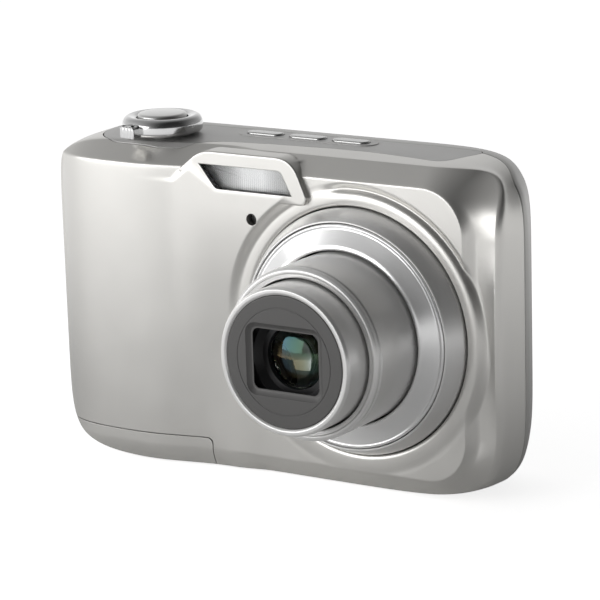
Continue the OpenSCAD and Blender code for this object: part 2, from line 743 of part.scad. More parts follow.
// Housing of the lens: it carries the trim, the barrels, the drive and the sensor
module lens_base() {
    front = dish_depth - 3.5;
    house = gear_house + 1.3;
    color([0.18, 0.18, 0.18]) {
        on_lens_axis() difference() {
            union() {
                rotate_extrude($fn = bore_fn) polygon([[base_in, front], [base_out, front],
                    [base_out, seat_depth], [ring_r - 0.1, seat_depth], [ring_r - 0.1, seat_depth - 1.2],
                    [base_out, seat_depth - 1.2], [base_out, -gear_y + 2], [house, -gear_y + 2],
                    [house, -lens_back_y - 1], [sensor_hole, -lens_back_y - 1], [sensor_hole, -lens_back_y],
                    [gear_house, -lens_back_y], [gear_house, -gear_y + 0.7], [base_in, -gear_y + 0.7]]);
                for (r = [drive_reach, motor_reach]) rotate([0, 0, gear_angle])
                    translate([r, 0, -lens_back_y - 1]) cylinder(r = drive_pitch + 1.1, h = 1, $fn = 64);
                for (a = lug_angles) rotate([0, 0, a]) translate([house - 0.6, -1.8, -lug_y - 1.8])
                    cube([lug_reach - house + 0.6, 3.6, 1.8]);
                for (a = lug_angles) rotate([0, 0, a]) translate([lug_reach, 0, -lug_y - 1.8])
                    cylinder(r = lug_r, h = 1.8, $fn = 48);
            }
            rotate([0, 0, gear_angle]) translate([base_out - 1, -drive_pitch - 1.2, -lens_back_y])
                cube([house - base_out + 3, 2 * drive_pitch + 2.4, lens_back_y - gear_y + 1.1]);
            for (a = lug_angles) rotate([0, 0, a]) translate([lug_reach, 0, -lug_y - 2])
                cylinder(r = lug_bore, h = 2.4, $fn = 32);
            rotate([0, 0, gear_angle]) translate([motor_reach, 0, -lens_back_y - 2])
                cylinder(r = shaft_pin + running, h = 3, $fn = 48);
        }
        on_lens_axis() rotate([0, 0, gear_angle]) translate([drive_reach, 0, -lens_back_y - 0.5])
            cylinder(r = shaft_pin, h = lens_back_y - gear_y + 1, $fn = 48);
    }
}

module image_sensor() {
    color([0.2, 0.25, 0.3]) translate([lens_x - 4.5, sensor_y - 0.6, lens_z - 3.7]) cube([9, 1.6, 7.4]);
}

module sensor_board() {
    color([0.1, 0.35, 0.2]) {
        translate([lens_x - sensor_board_w / 2, sensor_y + 1, lens_z - sensor_board_h / 2])
            cube([sensor_board_w, board_t, sensor_board_h]);
        for (x = [-11, 11]) for (z = [-8, 8])
            along_y(sensor_y, sensor_y + 1) translate([lens_x + x, lens_z + z]) circle(1.2, $fn = 32);
    }
}

module main_board() {
    color([0.1, 0.35, 0.2]) {
        translate([door_x, main_y, 7]) cube([half_w - door_x - 15.5, board_t, body_h - 14]);
        translate([-6, main_y + board_t, 24]) cube([11, 0.9, 11]);
        translate([9, main_y + board_t, 26]) cube([8, 0.9, 8]);
        translate([22, main_y + board_t, 12]) cube([6, 0.9, 7]);
    }
}

module key_board() {
    color([0.1, 0.35, 0.2]) {
        along_y(key_y, key_y + board_t) translate([pad_x, half_h]) round_rect(key_board_w, key_board_h, 4);
        for (p = rear_buttons)
            along_y(key_y + board_t, key_y + board_t + 0.3) translate(p) circle(1.4, $fn = 32);
        along_y(key_y + board_t, key_y + board_t + 0.3) translate([pad_x, pad_z]) circle(1.4, $fn = 32);
    }
}

module top_board() {
    color([0.1, 0.35, 0.2]) {
        translate([buttons_x - top_board_l / 2, buttons_y - 2.6, board_top - 0.7])
            cube([top_board_l, 5.2, 0.7]);
        for (i = [-1 : 1]) translate([buttons_x + i * top_button_pitch - 1.5, buttons_y - 1.2, board_top])
            cube([3, 2.4, 0.5]);
    }
}

// Bay round the two cells, open between them
module battery_holder() {
    color([0.16, 0.16, 0.16]) difference() {
        translate([0, 0, holder_z]) linear_extrude(holder_top - holder_z) {
            for (i = [0, 1]) translate([cell_x + i * cell_pitch, cell_y]) circle(holder_r, $fn = bore_fn);
            translate([cell_x, cell_y - holder_r]) square([cell_pitch, 2 * holder_r]);
        }
        cell_room();
    }
}

module battery_contacts() {
    color([0.8, 0.78, 0.7]) {
        for (i = [0, 1]) translate([cell_x + i * cell_pitch, cell_y, cell_top + 0.1]) {
            cylinder(r = 5, h = 0.4, $fn = 48);
            translate([-1.5, 1, 0.4]) cube([3, 2, 0.7]);
        }
        translate([cell_x, cell_y - 1, cell_top + 0.1]) cube([cell_pitch, 2, 0.4]);
    }
}

// AA cell: can, and the button at its positive end
module cell(up) {
    can = cell_l - 1;
    translate([0, 0, up ? 0 : 1]) cylinder(r = cell_d / 2, h = can, $fn = bore_fn);
    translate([0, 0, up ? can : 0]) cylinder(r = 2.7, h = 1, $fn = 48);
}
module battery_1() {
    color([0.75, 0.5, 0.2]) translate([cell_x, cell_y, cell_z]) cell(true);
}
module battery_2() {
    color([0.75, 0.5, 0.2]) translate([cell_x + cell_pitch, cell_y, cell_z]) cell(false);
}

// Sheet cage of the memory card, open below
module card_slot() {
    w = card_w + 0.2;
    color([0.75, 0.75, 0.75]) {
        translate([card_x - w / 2 - slot_wall, slot_y, card_z + 4])
            cube([w + 2 * slot_wall, slot_wall, card_l - 3]);
        for (x = [-w / 2 - slot_wall, w / 2])
            translate([card_x + x, slot_y, card_z + 4])
                cube([slot_wall, card_t + 0.2 + slot_wall, card_l - 3]);
        translate([card_x - w / 2, slot_y, card_z + card_l + 0.2]) cube([w, card_t + 0.2 + slot_wall, 0.8]);
    }
}

// Memory card with its cut corner
module memory_card() {
    color([0.15, 0.2, 0.45]) along_y(slot_y + slot_wall + 0.1, slot_y + slot_wall + 0.1 + card_t)
        translate([card_x, card_z]) polygon([[-card_w / 2, 0], [card_w / 2, 0], [card_w / 2, card_l],
            [-card_w / 2 + 3, card_l], [-card_w / 2, card_l - 3]]);
}

module screen_frame() {
    w = screen_w + 2.6;
    h = screen_h + 2.4;
    color([0.6, 0.6, 0.6]) difference() {
        along_y(panel_y - 0.3, rear_in - 0.8) translate([screen_x, screen_z]) round_rect(w, h, 5);
        along_y(panel_y, rear_in) translate([screen_x, screen_z]) round_rect(w - 1, h - 1, 4.5);
    }
}

module screen_panel() {
    color([0.1, 0.1, 0.12]) along_y(panel_y, rear_in - 0.3) translate([screen_x, screen_z])
        round_rect(screen_w + 1.4, screen_h + 1.2, 4.4);
}

module screen_window() {
    color([0.05, 0.05, 0.06]) along_y(rear_in - 0.2, rear_y - 0.1) translate([screen_x, screen_z])
        round_rect(screen_w, screen_h, 1.4);
}

// Tripod bush: a flanged insert with the quarter-inch socket
module tripod_bush() {
    color([0.75, 0.73, 0.65]) difference() {
        union() {
            cylinder(r = bush_r, h = 5.2, $fn = 64);
            translate([0, 0, wall + 0.1]) cylinder(r = bush_flange, h = 1.2, $fn = 64);
        }
        translate([0, 0, -1]) cylinder(r = socket_r, h = socket_l + 1, $fn = bore_fn);
    }
}

module speaker() {
    color([0.2, 0.2, 0.2]) translate([speaker_x, 0, wall + 0.1]) cylinder(r = speaker_r, h = 2.4, $fn = 64);
}

module usb_socket() {
    w = 7;
    l = 3;
    color([0.7, 0.7, 0.72]) difference() {
        translate([usb_x - w / 2 + 0.6, -l / 2, 3.1]) cube([w, l, 4.6]);
        translate([usb_x - w / 2 + 1, -l / 2 + 0.4, 3]) cube([w - 0.8, l - 0.8, 3.6]);
    }
}

module zoom_motor() {
    color([0.5, 0.5, 0.52]) on_lens_axis() rotate([0, 0, gear_angle]) translate([motor_reach, 0, 0]) {
        translate([0, 0, -gear_y + 0.5]) cylinder(r = motor_r, h = 7.4, $fn = 64);
        translate([0, 0, -lens_back_y - 1]) cylinder(r = shaft_pin, h = 6, $fn = 48);
    }
}

module base_screws() {
    color([0.55, 0.55, 0.55]) for (p = base_spots) translate([p[0], p[1], 0]) difference() {
        union() {
            translate([0, 0, screw_sink]) cylinder(r = screw_head, h = 0.45, $fn = 32);
            translate([0, 0, screw_sink]) cylinder(r = screw_r, h = 4, $fn = 32);
        }
        for (a = [0, 90]) rotate([0, 0, a]) translate([-0.9, -0.15, 0]) cube([1.8, 0.3, screw_sink + 0.25]);
    }
}

// ---- zoom mechanism ----

// Ring that turns inside the base and drives the barrels
module cam_ring() {
    color([0.3, 0.3, 0.3]) {
        lens_tube(cam_out, cam_in, -gear_y - gear_t - 0.3, dish_depth - 4);
        on_lens_axis() translate([0, 0, -gear_y - gear_t]) gear(cam_teeth, gear_t, cam_in);
    }
}

module drive_gear() {
    color([0.92, 0.9, 0.82]) on_lens_axis() rotate([0, 0, gear_angle])
        translate([drive_reach, 0, -gear_y - gear_t]) gear(drive_teeth, gear_t, shaft_pin + running, 15);
}

module motor_pinion() {
    color([0.8, 0.7, 0.4]) on_lens_axis() rotate([0, 0, gear_angle])
        translate([motor_reach, 0, -gear_y - gear_t]) gear(pinion_teeth, gear_t, shaft_pin + running, 0);
}

module barrel_outer() {
    d = barrel_depth;
    lip = small_r + barrel_gap;
    color([0.72, 0.72, 0.71]) on_lens_axis() rotate_extrude($fn = bore_fn)
        polygon([[barrel_in, barrel_back], [barrel_r, barrel_back], [barrel_r, d - 1.5],
            [barrel_r - 0.2, d - 1.3], [barrel_r - 0.2, d - 1.1], [barrel_r, d - 0.9],
            [barrel_r - 0.1, d - 0.3], [barrel_r - 0.45, d], [lip, d], [lip, d - 1.4], [barrel_in, d - 1.4]]);
}

module barrel_inner() {
    d = small_depth;
    r = plate_r + 0.05;
    color([0.6, 0.6, 0.6]) on_lens_axis() rotate_extrude($fn = bore_fn)
        polygon([[small_in, small_back], [small_r, small_back], [small_r, d - 0.4], [small_r - 0.2, d],
            [r, d], [r, d - plate_t], [small_in, d - plate_t]]);
}

// Front plate with the framed window
module front_plate() {
    d = small_depth;
    color([0.25, 0.25, 0.26]) on_lens_axis() difference() {
        translate([0, 0, d - plate_t]) cylinder(r = plate_r, h = plate_t - 0.2, $fn = bore_fn);
        translate([0, 0, d - plate_t - 0.5]) linear_extrude(2) round_rect(window_w - 2, window_h - 2, 1);
        translate([0, 0, d - plate_t + 0.4]) linear_extrude(2) round_rect(window_w, window_h, 1.6);
    }
}

module lens_cell() {
    d = small_depth - plate_t - 0.8;
    color([0.08, 0.08, 0.08]) on_lens_axis() rotate_extrude($fn = bore_fn)
        polygon([[glass_r + 0.05, d - 6], [small_in - 0.05, d - 6], [small_in - 0.05, d - 0.6],
            [glass_r + 2, d - 0.6], [glass_r + 1, d - 2], [glass_r + 0.05, d - 2]]);
}

// Front element: a flat back and a domed front
module front_lens() {
    d = small_depth - plate_t - 0.8;
    dome = 9;
    color([0.3, 0.4, 0.4]) on_lens_axis() intersection() {
        translate([0, 0, d - 5]) cylinder(r = glass_r, h = 6, $fn = bore_fn);
        translate([0, 0, d - 1 - dome]) sphere(dome, $fn = bore_fn);
    }
}

// Leaf of the lens barrier, open: it slides over the window, side = 1 above and -1 below
module leaf(side, layer) {
    depth = small_depth - plate_t - 0.3 - layer * 0.35;
    color([0.12, 0.12, 0.12]) on_lens_axis()
        translate([-leaf_w / 2, side > 0 ? leaf_open : -leaf_open - leaf_h, depth])
            cube([leaf_w, leaf_h, leaf_t]);
}
module blade_upper_lead() {
    leaf(1, 0);
}
module blade_upper_trail() {
    leaf(1, 1);
}
module blade_lower_lead() {
    leaf(-1, 0);
}
module blade_lower_trail() {
    leaf(-1, 1);
}

// ---- controls ----

module mode_dial() {
    r = dial_d / 2;
    color([0.75, 0.75, 0.75]) translate([dial_x, dial_y, 0]) {
        rotate_extrude($fn = bore_fn)
            polygon([[stem_r + running, shaft_low - clip_t], [clip_r, shaft_low - clip_t],
                [clip_r, shaft_low], [shaft_r, shaft_low], [shaft_r, dial_z],
                [r - 0.6, dial_z], [r, dial_z + 0.5], [r, dial_z + dial_h - 0.9],
                [r - 0.5, dial_z + dial_h - 0.25],
                [r - 1.2, dial_z + dial_h], [shutter_d / 2 + 0.2, dial_z + dial_h - 0.3],
                [shutter_d / 2 + 0.2, dial_z + 0.9], [stem_r + running, dial_z + 0.9]]);
        rotate([0, 0, tab_angle]) difference() {
            translate([r - 1.2, -2, dial_z + 0.1]) cube([tab_reach - r + 1.2, 4, dial_h - 0.7]);
            for (y = [-1.2 : 0.8 : 1.2]) translate([tab_reach, y, dial_z - 1])
                cylinder(r = 0.22, h = dial_h + 2, $fn = 16);
        }
    }
}

module shutter_button() {
    r = shutter_d / 2;
    z = dial_z + dial_h;
    color([0.86, 0.86, 0.86]) translate([dial_x, dial_y, 0]) rotate_extrude($fn = bore_fn)
        polygon([[0, top_z - 1.5], [stem_r, top_z - 1.5], [stem_r, z - 0.9], [r - 0.1, z - 0.9], [r, z - 0.8],
            [r, z - 0.05], [r - 0.4, z + 0.3], [r * 0.6, z + 0.5], [0, z + 0.6]]);
}

// Oblong button on the top, held under the plate by its flange
module top_button(i) {
    color([0.85, 0.85, 0.84]) translate([buttons_x + i * top_button_pitch, buttons_y, 0]) {
        translate([0, 0, top_z - wall - 0.15]) linear_extrude(wall + 0.15 + button_rise)
            strip(top_button_l, button_w);
        translate([0, 0, top_z - wall - 0.6]) linear_extrude(0.45) strip(top_button_l + 0.8, button_w + 0.8);
    }
}
module flash_button() {
    top_button(-1);
}
module timer_button() {
    top_button(0);
}
module power_button() {
    top_button(1);
}

module zoom_rocker() {
    color([0.75, 0.75, 0.74]) along_y(button_in, rear_y + rear_button_rise)
        translate([pad_x, rocker_z]) strip(rocker_l, rocker_w);
    color([0.75, 0.75, 0.74]) translate([pad_x, pivot_y, rocker_z]) {
        translate([0, 0, -rocker_w / 2 - 0.6]) cylinder(r = pivot_r, h = rocker_w + 1.2, $fn = 32);
        translate([-0.5, 0, -rocker_w / 2 + 0.3]) cube([1, 0.4, rocker_w - 0.6]);
    }
}

// Round button on the rear, held behind the wall by its flange
module rear_button(i) {
    color([0.75, 0.75, 0.74]) {
        along_y(button_in, rear_y + rear_button_rise) translate(rear_buttons[i])
            circle(d = rear_button_d, $fn = 64);
        along_y(button_in, rear_in - 0.05) translate(rear_buttons[i])
            circle(d = rear_button_d + 0.5, $fn = 64);
    }
}
module menu_button() {
    rear_button(3);
}
module review_button() {
    rear_button(1);
}
module delete_button() {
    rear_button(0);
}
module info_button() {
    rear_button(2);
}

module four_way_ring() {
    color([0.72, 0.72, 0.71]) for (i = [-1, 1]) translate([pad_x + i * (ring_d / 2 - 0.5), pivot_y, pad_z]) {
        rotate([0, 90, 0]) cylinder(r = pivot_r, h = 2.4, center = true, $fn = 32);
        translate([-i * 0.9 - 0.4, 0, -0.5]) cube([0.8, 0.4, 1]);
    }
    color([0.72, 0.72, 0.71]) difference() {
        along_y(button_in, rear_y + rear_button_rise) translate([pad_x, pad_z])
            circle(d = ring_d - 0.3, $fn = bore_fn);
        along_y(button_in - 1, rear_y + 2) translate([pad_x, pad_z]) circle(d = ok_d + 0.7, $fn = bore_fn);
    }
}

module ok_button() {
    color([0.8, 0.8, 0.79]) along_y(button_in, rear_y + rear_button_rise + 0.2)
        translate([pad_x, pad_z]) circle(d = ok_d, $fn = 64);
}

// ---- doors ----

module door_slide_pin() {
    color([0.6, 0.6, 0.6]) translate([knuckles[0][0], hinge_y, hinge_z]) rotate([0, 90, 0])
        cylinder(r = pin_r, h = hinge_lugs[1][1] - knuckles[0][0], $fn = 48);
}

// Door over the cells and the card: the moulded end of the grip, with two knuckles
module battery_door() {
    color([0.79, 0.78, 0.75]) difference() {
        union() {
            difference() {
                intersection() {
                    outer_form();
                    door_room(0);
                }
                along_y(-grip_depth + 2.6, door_rear - 1.4)
                    polygon([for (j = [0 : around - 1]) drawn(j, wall + 1.2, wall + 0.1)]);
                translate([knuckles[0][0] - 12, hinge_y - 0.1, hinge_z + hinge_r]) cube([40, 3, 3]);
            }
            for (k = knuckles) translate([k[0], hinge_y, hinge_z]) rotate([0, 90, 0])
                cylinder(r = hinge_r, h = k[1] - k[0], $fn = 64);
        }
        cell_room();
        for (i = [0, 1]) translate([cell_x + i * cell_pitch, cell_y, spring_z - 0.1])
            cylinder(r = spring_r + gap, h = door_h, $fn = 48);
        for (k = hinge_lugs) translate([k[0] - 0.3, hinge_y, hinge_z]) rotate([0, 90, 0])
            cylinder(r = hinge_out + gap, h = k[1] - k[0] + door_slide + 0.6, $fn = 64);
        translate([knuckles[0][0] - 20, hinge_y, hinge_z]) rotate([0, 90, 0])
            cylinder(r = pin_r + running, h = 50, $fn = 48);
    }
}

// Sprung strip on the door that joins the two cells
module door_contact() {
    color([0.8, 0.78, 0.7]) {
        translate([cell_x - 2.4, cell_y - 2.4, cell_z - 0.65]) cube([cell_pitch + 4.8, 4.8, 0.4]);
        for (i = [0, 1]) translate([cell_x + i * cell_pitch, cell_y, spring_z])
            cylinder(r = spring_r, h = cell_z - 0.55 - spring_z, $fn = 48);
    }
}

// Small flap over the connector, with its knuckle and the stubs of its pin
module usb_cover() {
    color([0.35, 0.35, 0.35]) {
        difference() {
            intersection() {
                outer_form();
                translate([usb_pin_x, -usb_l / 2, -1]) cube([usb_x + usb_w / 2 - usb_pin_x, usb_l, 4]);
            }
            under_top(wall);
        }
        usb_pin(usb_knuckle_r, usb_l);
        usb_pin(usb_pin_r, usb_l + 1.6);
    }
}

// Cylinder on the axis of the connector flap
module usb_pin(r, l) {
    translate([usb_pin_x, l / 2, usb_pin_z]) rotate([90, 0, 0]) cylinder(r = r, h = l, $fn = 48);
}

front_cover();
rear_cover();
top_cover();
grip_trim();
strap_post();
flash_window();
flash_reflector();
flash_tube();
flash_capacitor();
lamp_window();
lens_trim_ring();
lens_trim_dish();
lens_base();
image_sensor();
sensor_board();
main_board();
top_board();
battery_holder();
battery_contacts();
battery_1();
battery_2();
card_slot();
memory_card();
screen_frame();
screen_panel();
screen_window();
tripod_bush();
speaker();
usb_socket();
zoom_motor();
base_screws();
key_board();
door_contact();
cam_ring();
drive_gear();
motor_pinion();
barrel_outer();
barrel_inner();
front_plate();
front_lens();
lens_cell();
blade_upper_lead();
blade_upper_trail();
blade_lower_lead();
blade_lower_trail();
mode_dial();
shutter_button();
flash_button();
timer_button();
power_button();
zoom_rocker();
menu_button();
review_button();
delete_button();
info_button();
four_way_ring();
ok_button();
door_slide_pin();
battery_door();
usb_cover();
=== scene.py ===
"""Looks of a compact digital camera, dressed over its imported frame.

+X is to the right seen from the front, +Y to the back and +Z up. The sizes in the classes are
millimetres, and every mesh is written in metres in the frame's own place.
"""

import logging
import math
from dataclasses import dataclass
from enum import Enum
from typing import Sequence

import bpy
import numpy as np
from mathutils import Matrix, Vector


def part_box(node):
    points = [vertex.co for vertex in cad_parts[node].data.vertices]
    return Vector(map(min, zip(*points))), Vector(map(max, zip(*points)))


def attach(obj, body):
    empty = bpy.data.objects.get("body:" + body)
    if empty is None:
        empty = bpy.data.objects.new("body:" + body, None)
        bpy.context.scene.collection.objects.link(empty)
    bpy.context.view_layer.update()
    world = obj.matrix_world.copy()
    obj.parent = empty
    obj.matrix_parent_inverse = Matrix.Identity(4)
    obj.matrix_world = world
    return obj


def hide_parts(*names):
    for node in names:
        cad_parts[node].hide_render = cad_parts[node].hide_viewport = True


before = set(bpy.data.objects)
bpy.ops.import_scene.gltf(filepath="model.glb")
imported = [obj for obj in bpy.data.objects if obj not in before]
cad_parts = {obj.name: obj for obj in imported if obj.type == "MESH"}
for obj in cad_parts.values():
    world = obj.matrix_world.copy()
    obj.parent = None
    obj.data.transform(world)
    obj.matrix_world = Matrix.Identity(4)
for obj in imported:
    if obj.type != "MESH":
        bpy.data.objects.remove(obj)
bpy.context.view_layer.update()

LOG = logging.getLogger("camera")
MM = 0.001
# Degrees from which an edge is kept sharp, and scale of the slow drift in colour and roughness.
CREASE = 38.0
DRIFT_SCALE = 0.09
Array = np.ndarray
Pair = tuple[float, float]
Triple = tuple[float, float, float]
LENS_AXIS: Pair = (18.2, 28.9)
DIAL_AXIS: Pair = (-26.0, -3.4)


# ---- curves and surfaces ----


def smooth(t: Array) -> Array:
    """Smooth step: t squared times three minus two t, held between 0 and 1."""
    c = np.clip(t, 0.0, 1.0)
    return c * c * (3.0 - 2.0 * c)


def mix(a: Array, b: Array, t: Array) -> Array:
    """Straight mixture: a plus t times the step from a to b."""
    return a + (b - a) * t


def ramp(d: Array, r: float) -> Array:
    """Rounded positive part: half of d plus the root of d squared plus r squared."""
    return 0.5 * (d + np.sqrt(d * d + r * r))


def through(points: Sequence[Sequence[float]], steps: int) -> Array:
    """Catmull-Rom curve through points, each span cut in equal steps of its parameter.

    Args:
        points: control points, in any number of dimensions.
        steps: pieces of each span.

    Returns:
        The curve, one row for each point on it.
    """
    p = np.asarray(points, float)
    q = np.vstack([2 * p[0] - p[1], p, 2 * p[-1] - p[-2]])
    t = (np.arange(steps) / steps)[None, :, None]
    a, b, c, d = (q[k : k + len(p) - 1][:, None] for k in range(4))
    s = 0.5 * (2 * b + (c - a) * t + (2 * a - 5 * b + 4 * c - d) * t**2 + (3 * b - a - 3 * c + d) * t**3)
    return np.vstack([s.reshape(-1, p.shape[1]), p[-1:]])


def rounded(points: Sequence[Pair], r: float | Sequence[float], steps: int = 6, loop: bool = True) -> Array:
    """Polygon whose corners are parabolic arcs that touch both sides at distance r from the corner.

    Args:
        points: corners in order.
        r: distance from a corner to each end of its arc, one for all or one each.
        steps: pieces of each arc.
        loop: whether the last corner joins the first. Otherwise both ends stay sharp.

    Returns:
        The rounded outline, one row for each point.
    """
    p = np.asarray(points, float)
    before, after = np.roll(p, 1, 0) - p, np.roll(p, -1, 0) - p
    la, lb = np.linalg.norm(before, axis=1), np.linalg.norm(after, axis=1)
    reach = np.minimum(np.broadcast_to(np.asarray(r, float), la.shape), 0.49 * np.minimum(la, lb))
    if not loop:
        reach = np.where(np.arange(len(p)) % (len(p) - 1) == 0, 1e-4, reach)
    a = p + before * (reach / la)[:, None]
    b = p + after * (reach / lb)[:, None]
    s = np.linspace(0, 1, steps + 1)[None, :, None]
    out = ((1 - s) ** 2 * a[:, None] + 2 * s * (1 - s) * p[:, None] + s * s * b[:, None]).reshape(-1, 2)
    if not loop:
        out = np.vstack([p[:1], out[steps + 1 : -(steps + 1)], p[-1:]])
    return out


def circle(r: float, n: int = 96, centre: Pair = (0.0, 0.0)) -> Array:
    """Circle of n points about centre."""
    a = (np.arange(n) + 0.5) * 2 * np.pi / n
    return np.stack([centre[0] + r * np.cos(a), centre[1] + r * np.sin(a)], 1)


def round_rect(w: float, h: float, r: float, n: int = 96, centre: Pair = (0.0, 0.0)) -> Array:
    """Rectangle with quarter circles of radius r for corners: a circle with its quarters moved apart.

    Args:
        w: its width.
        h: its height.
        r: radius of the corners.
        n: number of points.
        centre: its middle.

    Returns:
        The outline, one row for each point.
    """
    a = (np.arange(n) + 0.5) * 2 * np.pi / n
    x = (w / 2 - r) * np.sign(np.cos(a)) + r * np.cos(a)
    z = (h / 2 - r) * np.sign(np.sin(a)) + r * np.sin(a)
    return np.stack([centre[0] + x, centre[1] + z], 1)


def strip(length: float, width: float, centre: Pair = (0.0, 0.0), n: int = 96) -> Array:
    """Straight strip with half-round ends: two half circles moved apart."""
    return round_rect(length, width, width / 2 - 1e-4, n, centre)


def outward(outline: Array) -> Array:
    """Unit normals of a closed outline: its tangent turned a right angle to the outside.

    Args:
        outline: rows of two coordinates.

    Returns:
        One normal for each row.
    """
    t = np.roll(outline, -1, 0) - np.roll(outline, 1, 0)
    t /= np.maximum(np.linalg.norm(t, axis=1, keepdims=True), 1e-9)
    x, y = outline.T
    side = np.sign(np.sum(x * np.roll(y, -1) - np.roll(x, -1) * y))
    return side * np.stack([t[:, 1], -t[:, 0]], 1)


class Axis(Enum):
    """Directions of a drawing's two axes, and the direction that it is carried along."""

    LENS = ((1, 0, 0), (0, 0, 1), (0, -1, 0))
    REAR = ((1, 0, 0), (0, 0, 1), (0, 1, 0))
    UP = ((1, 0, 0), (0, 1, 0), (0, 0, 1))
    SIDE = ((0, 1, 0), (0, 0, 1), (1, 0, 0))

    def place(self, u: Array, v: Array, w: Array, origin: Triple = (0.0, 0.0, 0.0)) -> Array:
        """Point = origin + u along the first direction + v along the second + w along the third.

        Args:
            u: first coordinate of the drawing.
            v: second coordinate of the drawing.
            w: distance along the axis.
            origin: place of the drawing's origin.

        Returns:
            The points, with their three coordinates last.
        """
        e = np.asarray(self.value, float)
        u, v, w = np.broadcast_arrays(u, v, w)
        return np.asarray(origin, float) + u[..., None] * e[0] + v[..., None] * e[1] + w[..., None] * e[2]


@dataclass
class Skin:
    """Closed surface: points in millimetres, and faces of four and of three corners."""

    points: Array
    quads: Array
    tris: Array

    def outwards(self) -> "Skin":
        """The same skin with its faces turned outwards, told from the sign of its volume.

        Returns:
            The skin itself, or one with every face turned over.
        """
        split = np.vstack([self.quads[:, :3], self.quads[:, [0, 2, 3]], self.tris])
        a, b, c = (self.points[split[:, k]] for k in range(3))
        if np.einsum("ij,ij->", a, np.cross(b, c)) < 0:
            return Skin(self.points, self.quads[:, ::-1], self.tris[:, ::-1])
        return self


Tool = tuple[str, Skin]


def loft(rings: Array, loop: bool = False) -> Skin:
    """Closed skin over rings of points: row i joins row i + 1, and point j joins point j + 1.

    Args:
        rings: rows x columns x 3 array of points.
        loop: whether the last ring joins the first. Otherwise a fan closes each end.

    Returns:
        The skin, facing outwards.
    """
    rows, cols = rings.shape[:2]
    i = np.arange(rows if loop else rows - 1)[:, None]
    j = np.arange(cols)[None, :]
    k, i2 = (j + 1) % cols, (i + 1) % rows
    quads = np.stack([i * cols + j, i * cols + k, i2 * cols + k, i2 * cols + j], -1).reshape(-1, 4)
    points, tris = rings.reshape(-1, 3), np.zeros((0, 3), int)
    if not loop:
        n, last = rows * cols, (rows - 1) * cols
        points = np.vstack([points, rings[0].mean(0), rings[-1].mean(0)])
        j, k = j[0], k[0]
        tris = np.vstack([np.stack([k, j, 0 * j + n], 1), np.stack([last + j, last + k, 0 * j + n + 1], 1)])
    return Skin(points, quads, tris).outwards()


def spin(profile: Array, axis: Axis, origin: Triple, steps: int = 192, loop: bool = True) -> Skin:
    """Profile of radius and height turned about an axis: (r cos a, r sin a, h) for every angle a.

    Args:
        profile: rows of radius and height along the axis.
        axis: the direction of the turning axis.
        origin: a point on it.
        steps: stations round the axis.
        loop: whether the profile is a closed loop. Otherwise fans close its ends on the axis.

    Returns:
        The turned skin.
    """
    a = np.arange(steps) * 2 * np.pi / steps
    r, h = np.asarray(profile, float).T
    return loft(axis.place(r[:, None] * np.cos(a), r[:, None] * np.sin(a), h[:, None], origin), loop)


def prism(outline: Array, levels: Sequence[Pair], axis: Axis, origin: Triple = (0.0, 0.0, 0.0)) -> Skin:
    """Outline carried along an axis: at each level it is moved in along its normals by an inset.

    Args:
        outline: closed drawing.
        levels: rows of height along the axis and inset.
        axis: directions of the drawing and of the carrying.
        origin: place of the drawing's origin.

    Returns:
        The closed skin.
    """
    lv = np.asarray(levels, float)
    flat = outline[None] - lv[:, 1, None, None] * outward(outline)[None]
    return loft(axis.place(flat[..., 0], flat[..., 1], lv[:, 0, None], origin))


def edge(low: float, high: float, r: float, r_low: float = 0.0) -> list[Pair]:
    """Levels of a prism whose end at high has a quarter-round edge of radius r, and at low of r_low.

    Args:
        low: height of the first end.
        high: height of the other end.
        r: radius of the edge at high.
        r_low: radius of the edge at low, or 0 for a sharp one.

    Returns:
        Rows of height and inset.
    """
    a = np.linspace(0, np.pi / 2, 6)
    top = [(high - r + r * math.sin(t), r - r * math.cos(t)) for t in a] + [(high, r * 1.6)]
    foot = [(low + r_low - r_low * math.sin(t), r_low - r_low * math.cos(t)) for t in a[::-1]]
    return ([(low, r_low * 1.6)] + foot if r_low else [(low, 0.0)]) + top


def build(name: str, skin: Skin, crease: float = CREASE) -> bpy.types.Object:
    """Mesh object of a skin, smooth but for edges sharper than crease degrees.

    Args:
        name: name of the object.
        skin: its surface.
        crease: angle from which an edge is kept sharp.

    Returns:
        The object, linked to the scene.
    """
    mesh = bpy.data.meshes.new(name)
    quads, tris = skin.quads, skin.tris
    corners = np.concatenate([quads.ravel(), tris.ravel()]).astype(np.int32)
    starts = np.concatenate([np.arange(len(quads)) * 4, 4 * len(quads) + np.arange(len(tris)) * 3])
    mesh.vertices.add(len(skin.points))
    mesh.vertices.foreach_set("co", (skin.points * MM).astype(np.float32).ravel())
    mesh.loops.add(len(corners))
    mesh.loops.foreach_set("vertex_index", corners)
    mesh.polygons.add(len(starts))
    mesh.polygons.foreach_set("loop_start", starts.astype(np.int32))
    mesh.update(calc_edges=True)
    mesh.validate()
    obj = bpy.data.objects.new(name, mesh)
    bpy.context.scene.collection.objects.link(obj)
    soften(obj, crease)
    return obj


def soften(obj: bpy.types.Object, crease: float = CREASE) -> None:
    """Shades an object smooth and keeps edges sharper than crease degrees.

    Args:
        obj: the object.
        crease: angle in degrees.
    """
    mesh = obj.data
    mesh.polygons.foreach_set("use_smooth", np.ones(len(mesh.polygons), bool))
    mesh.set_sharp_from_angle(angle=math.radians(crease))


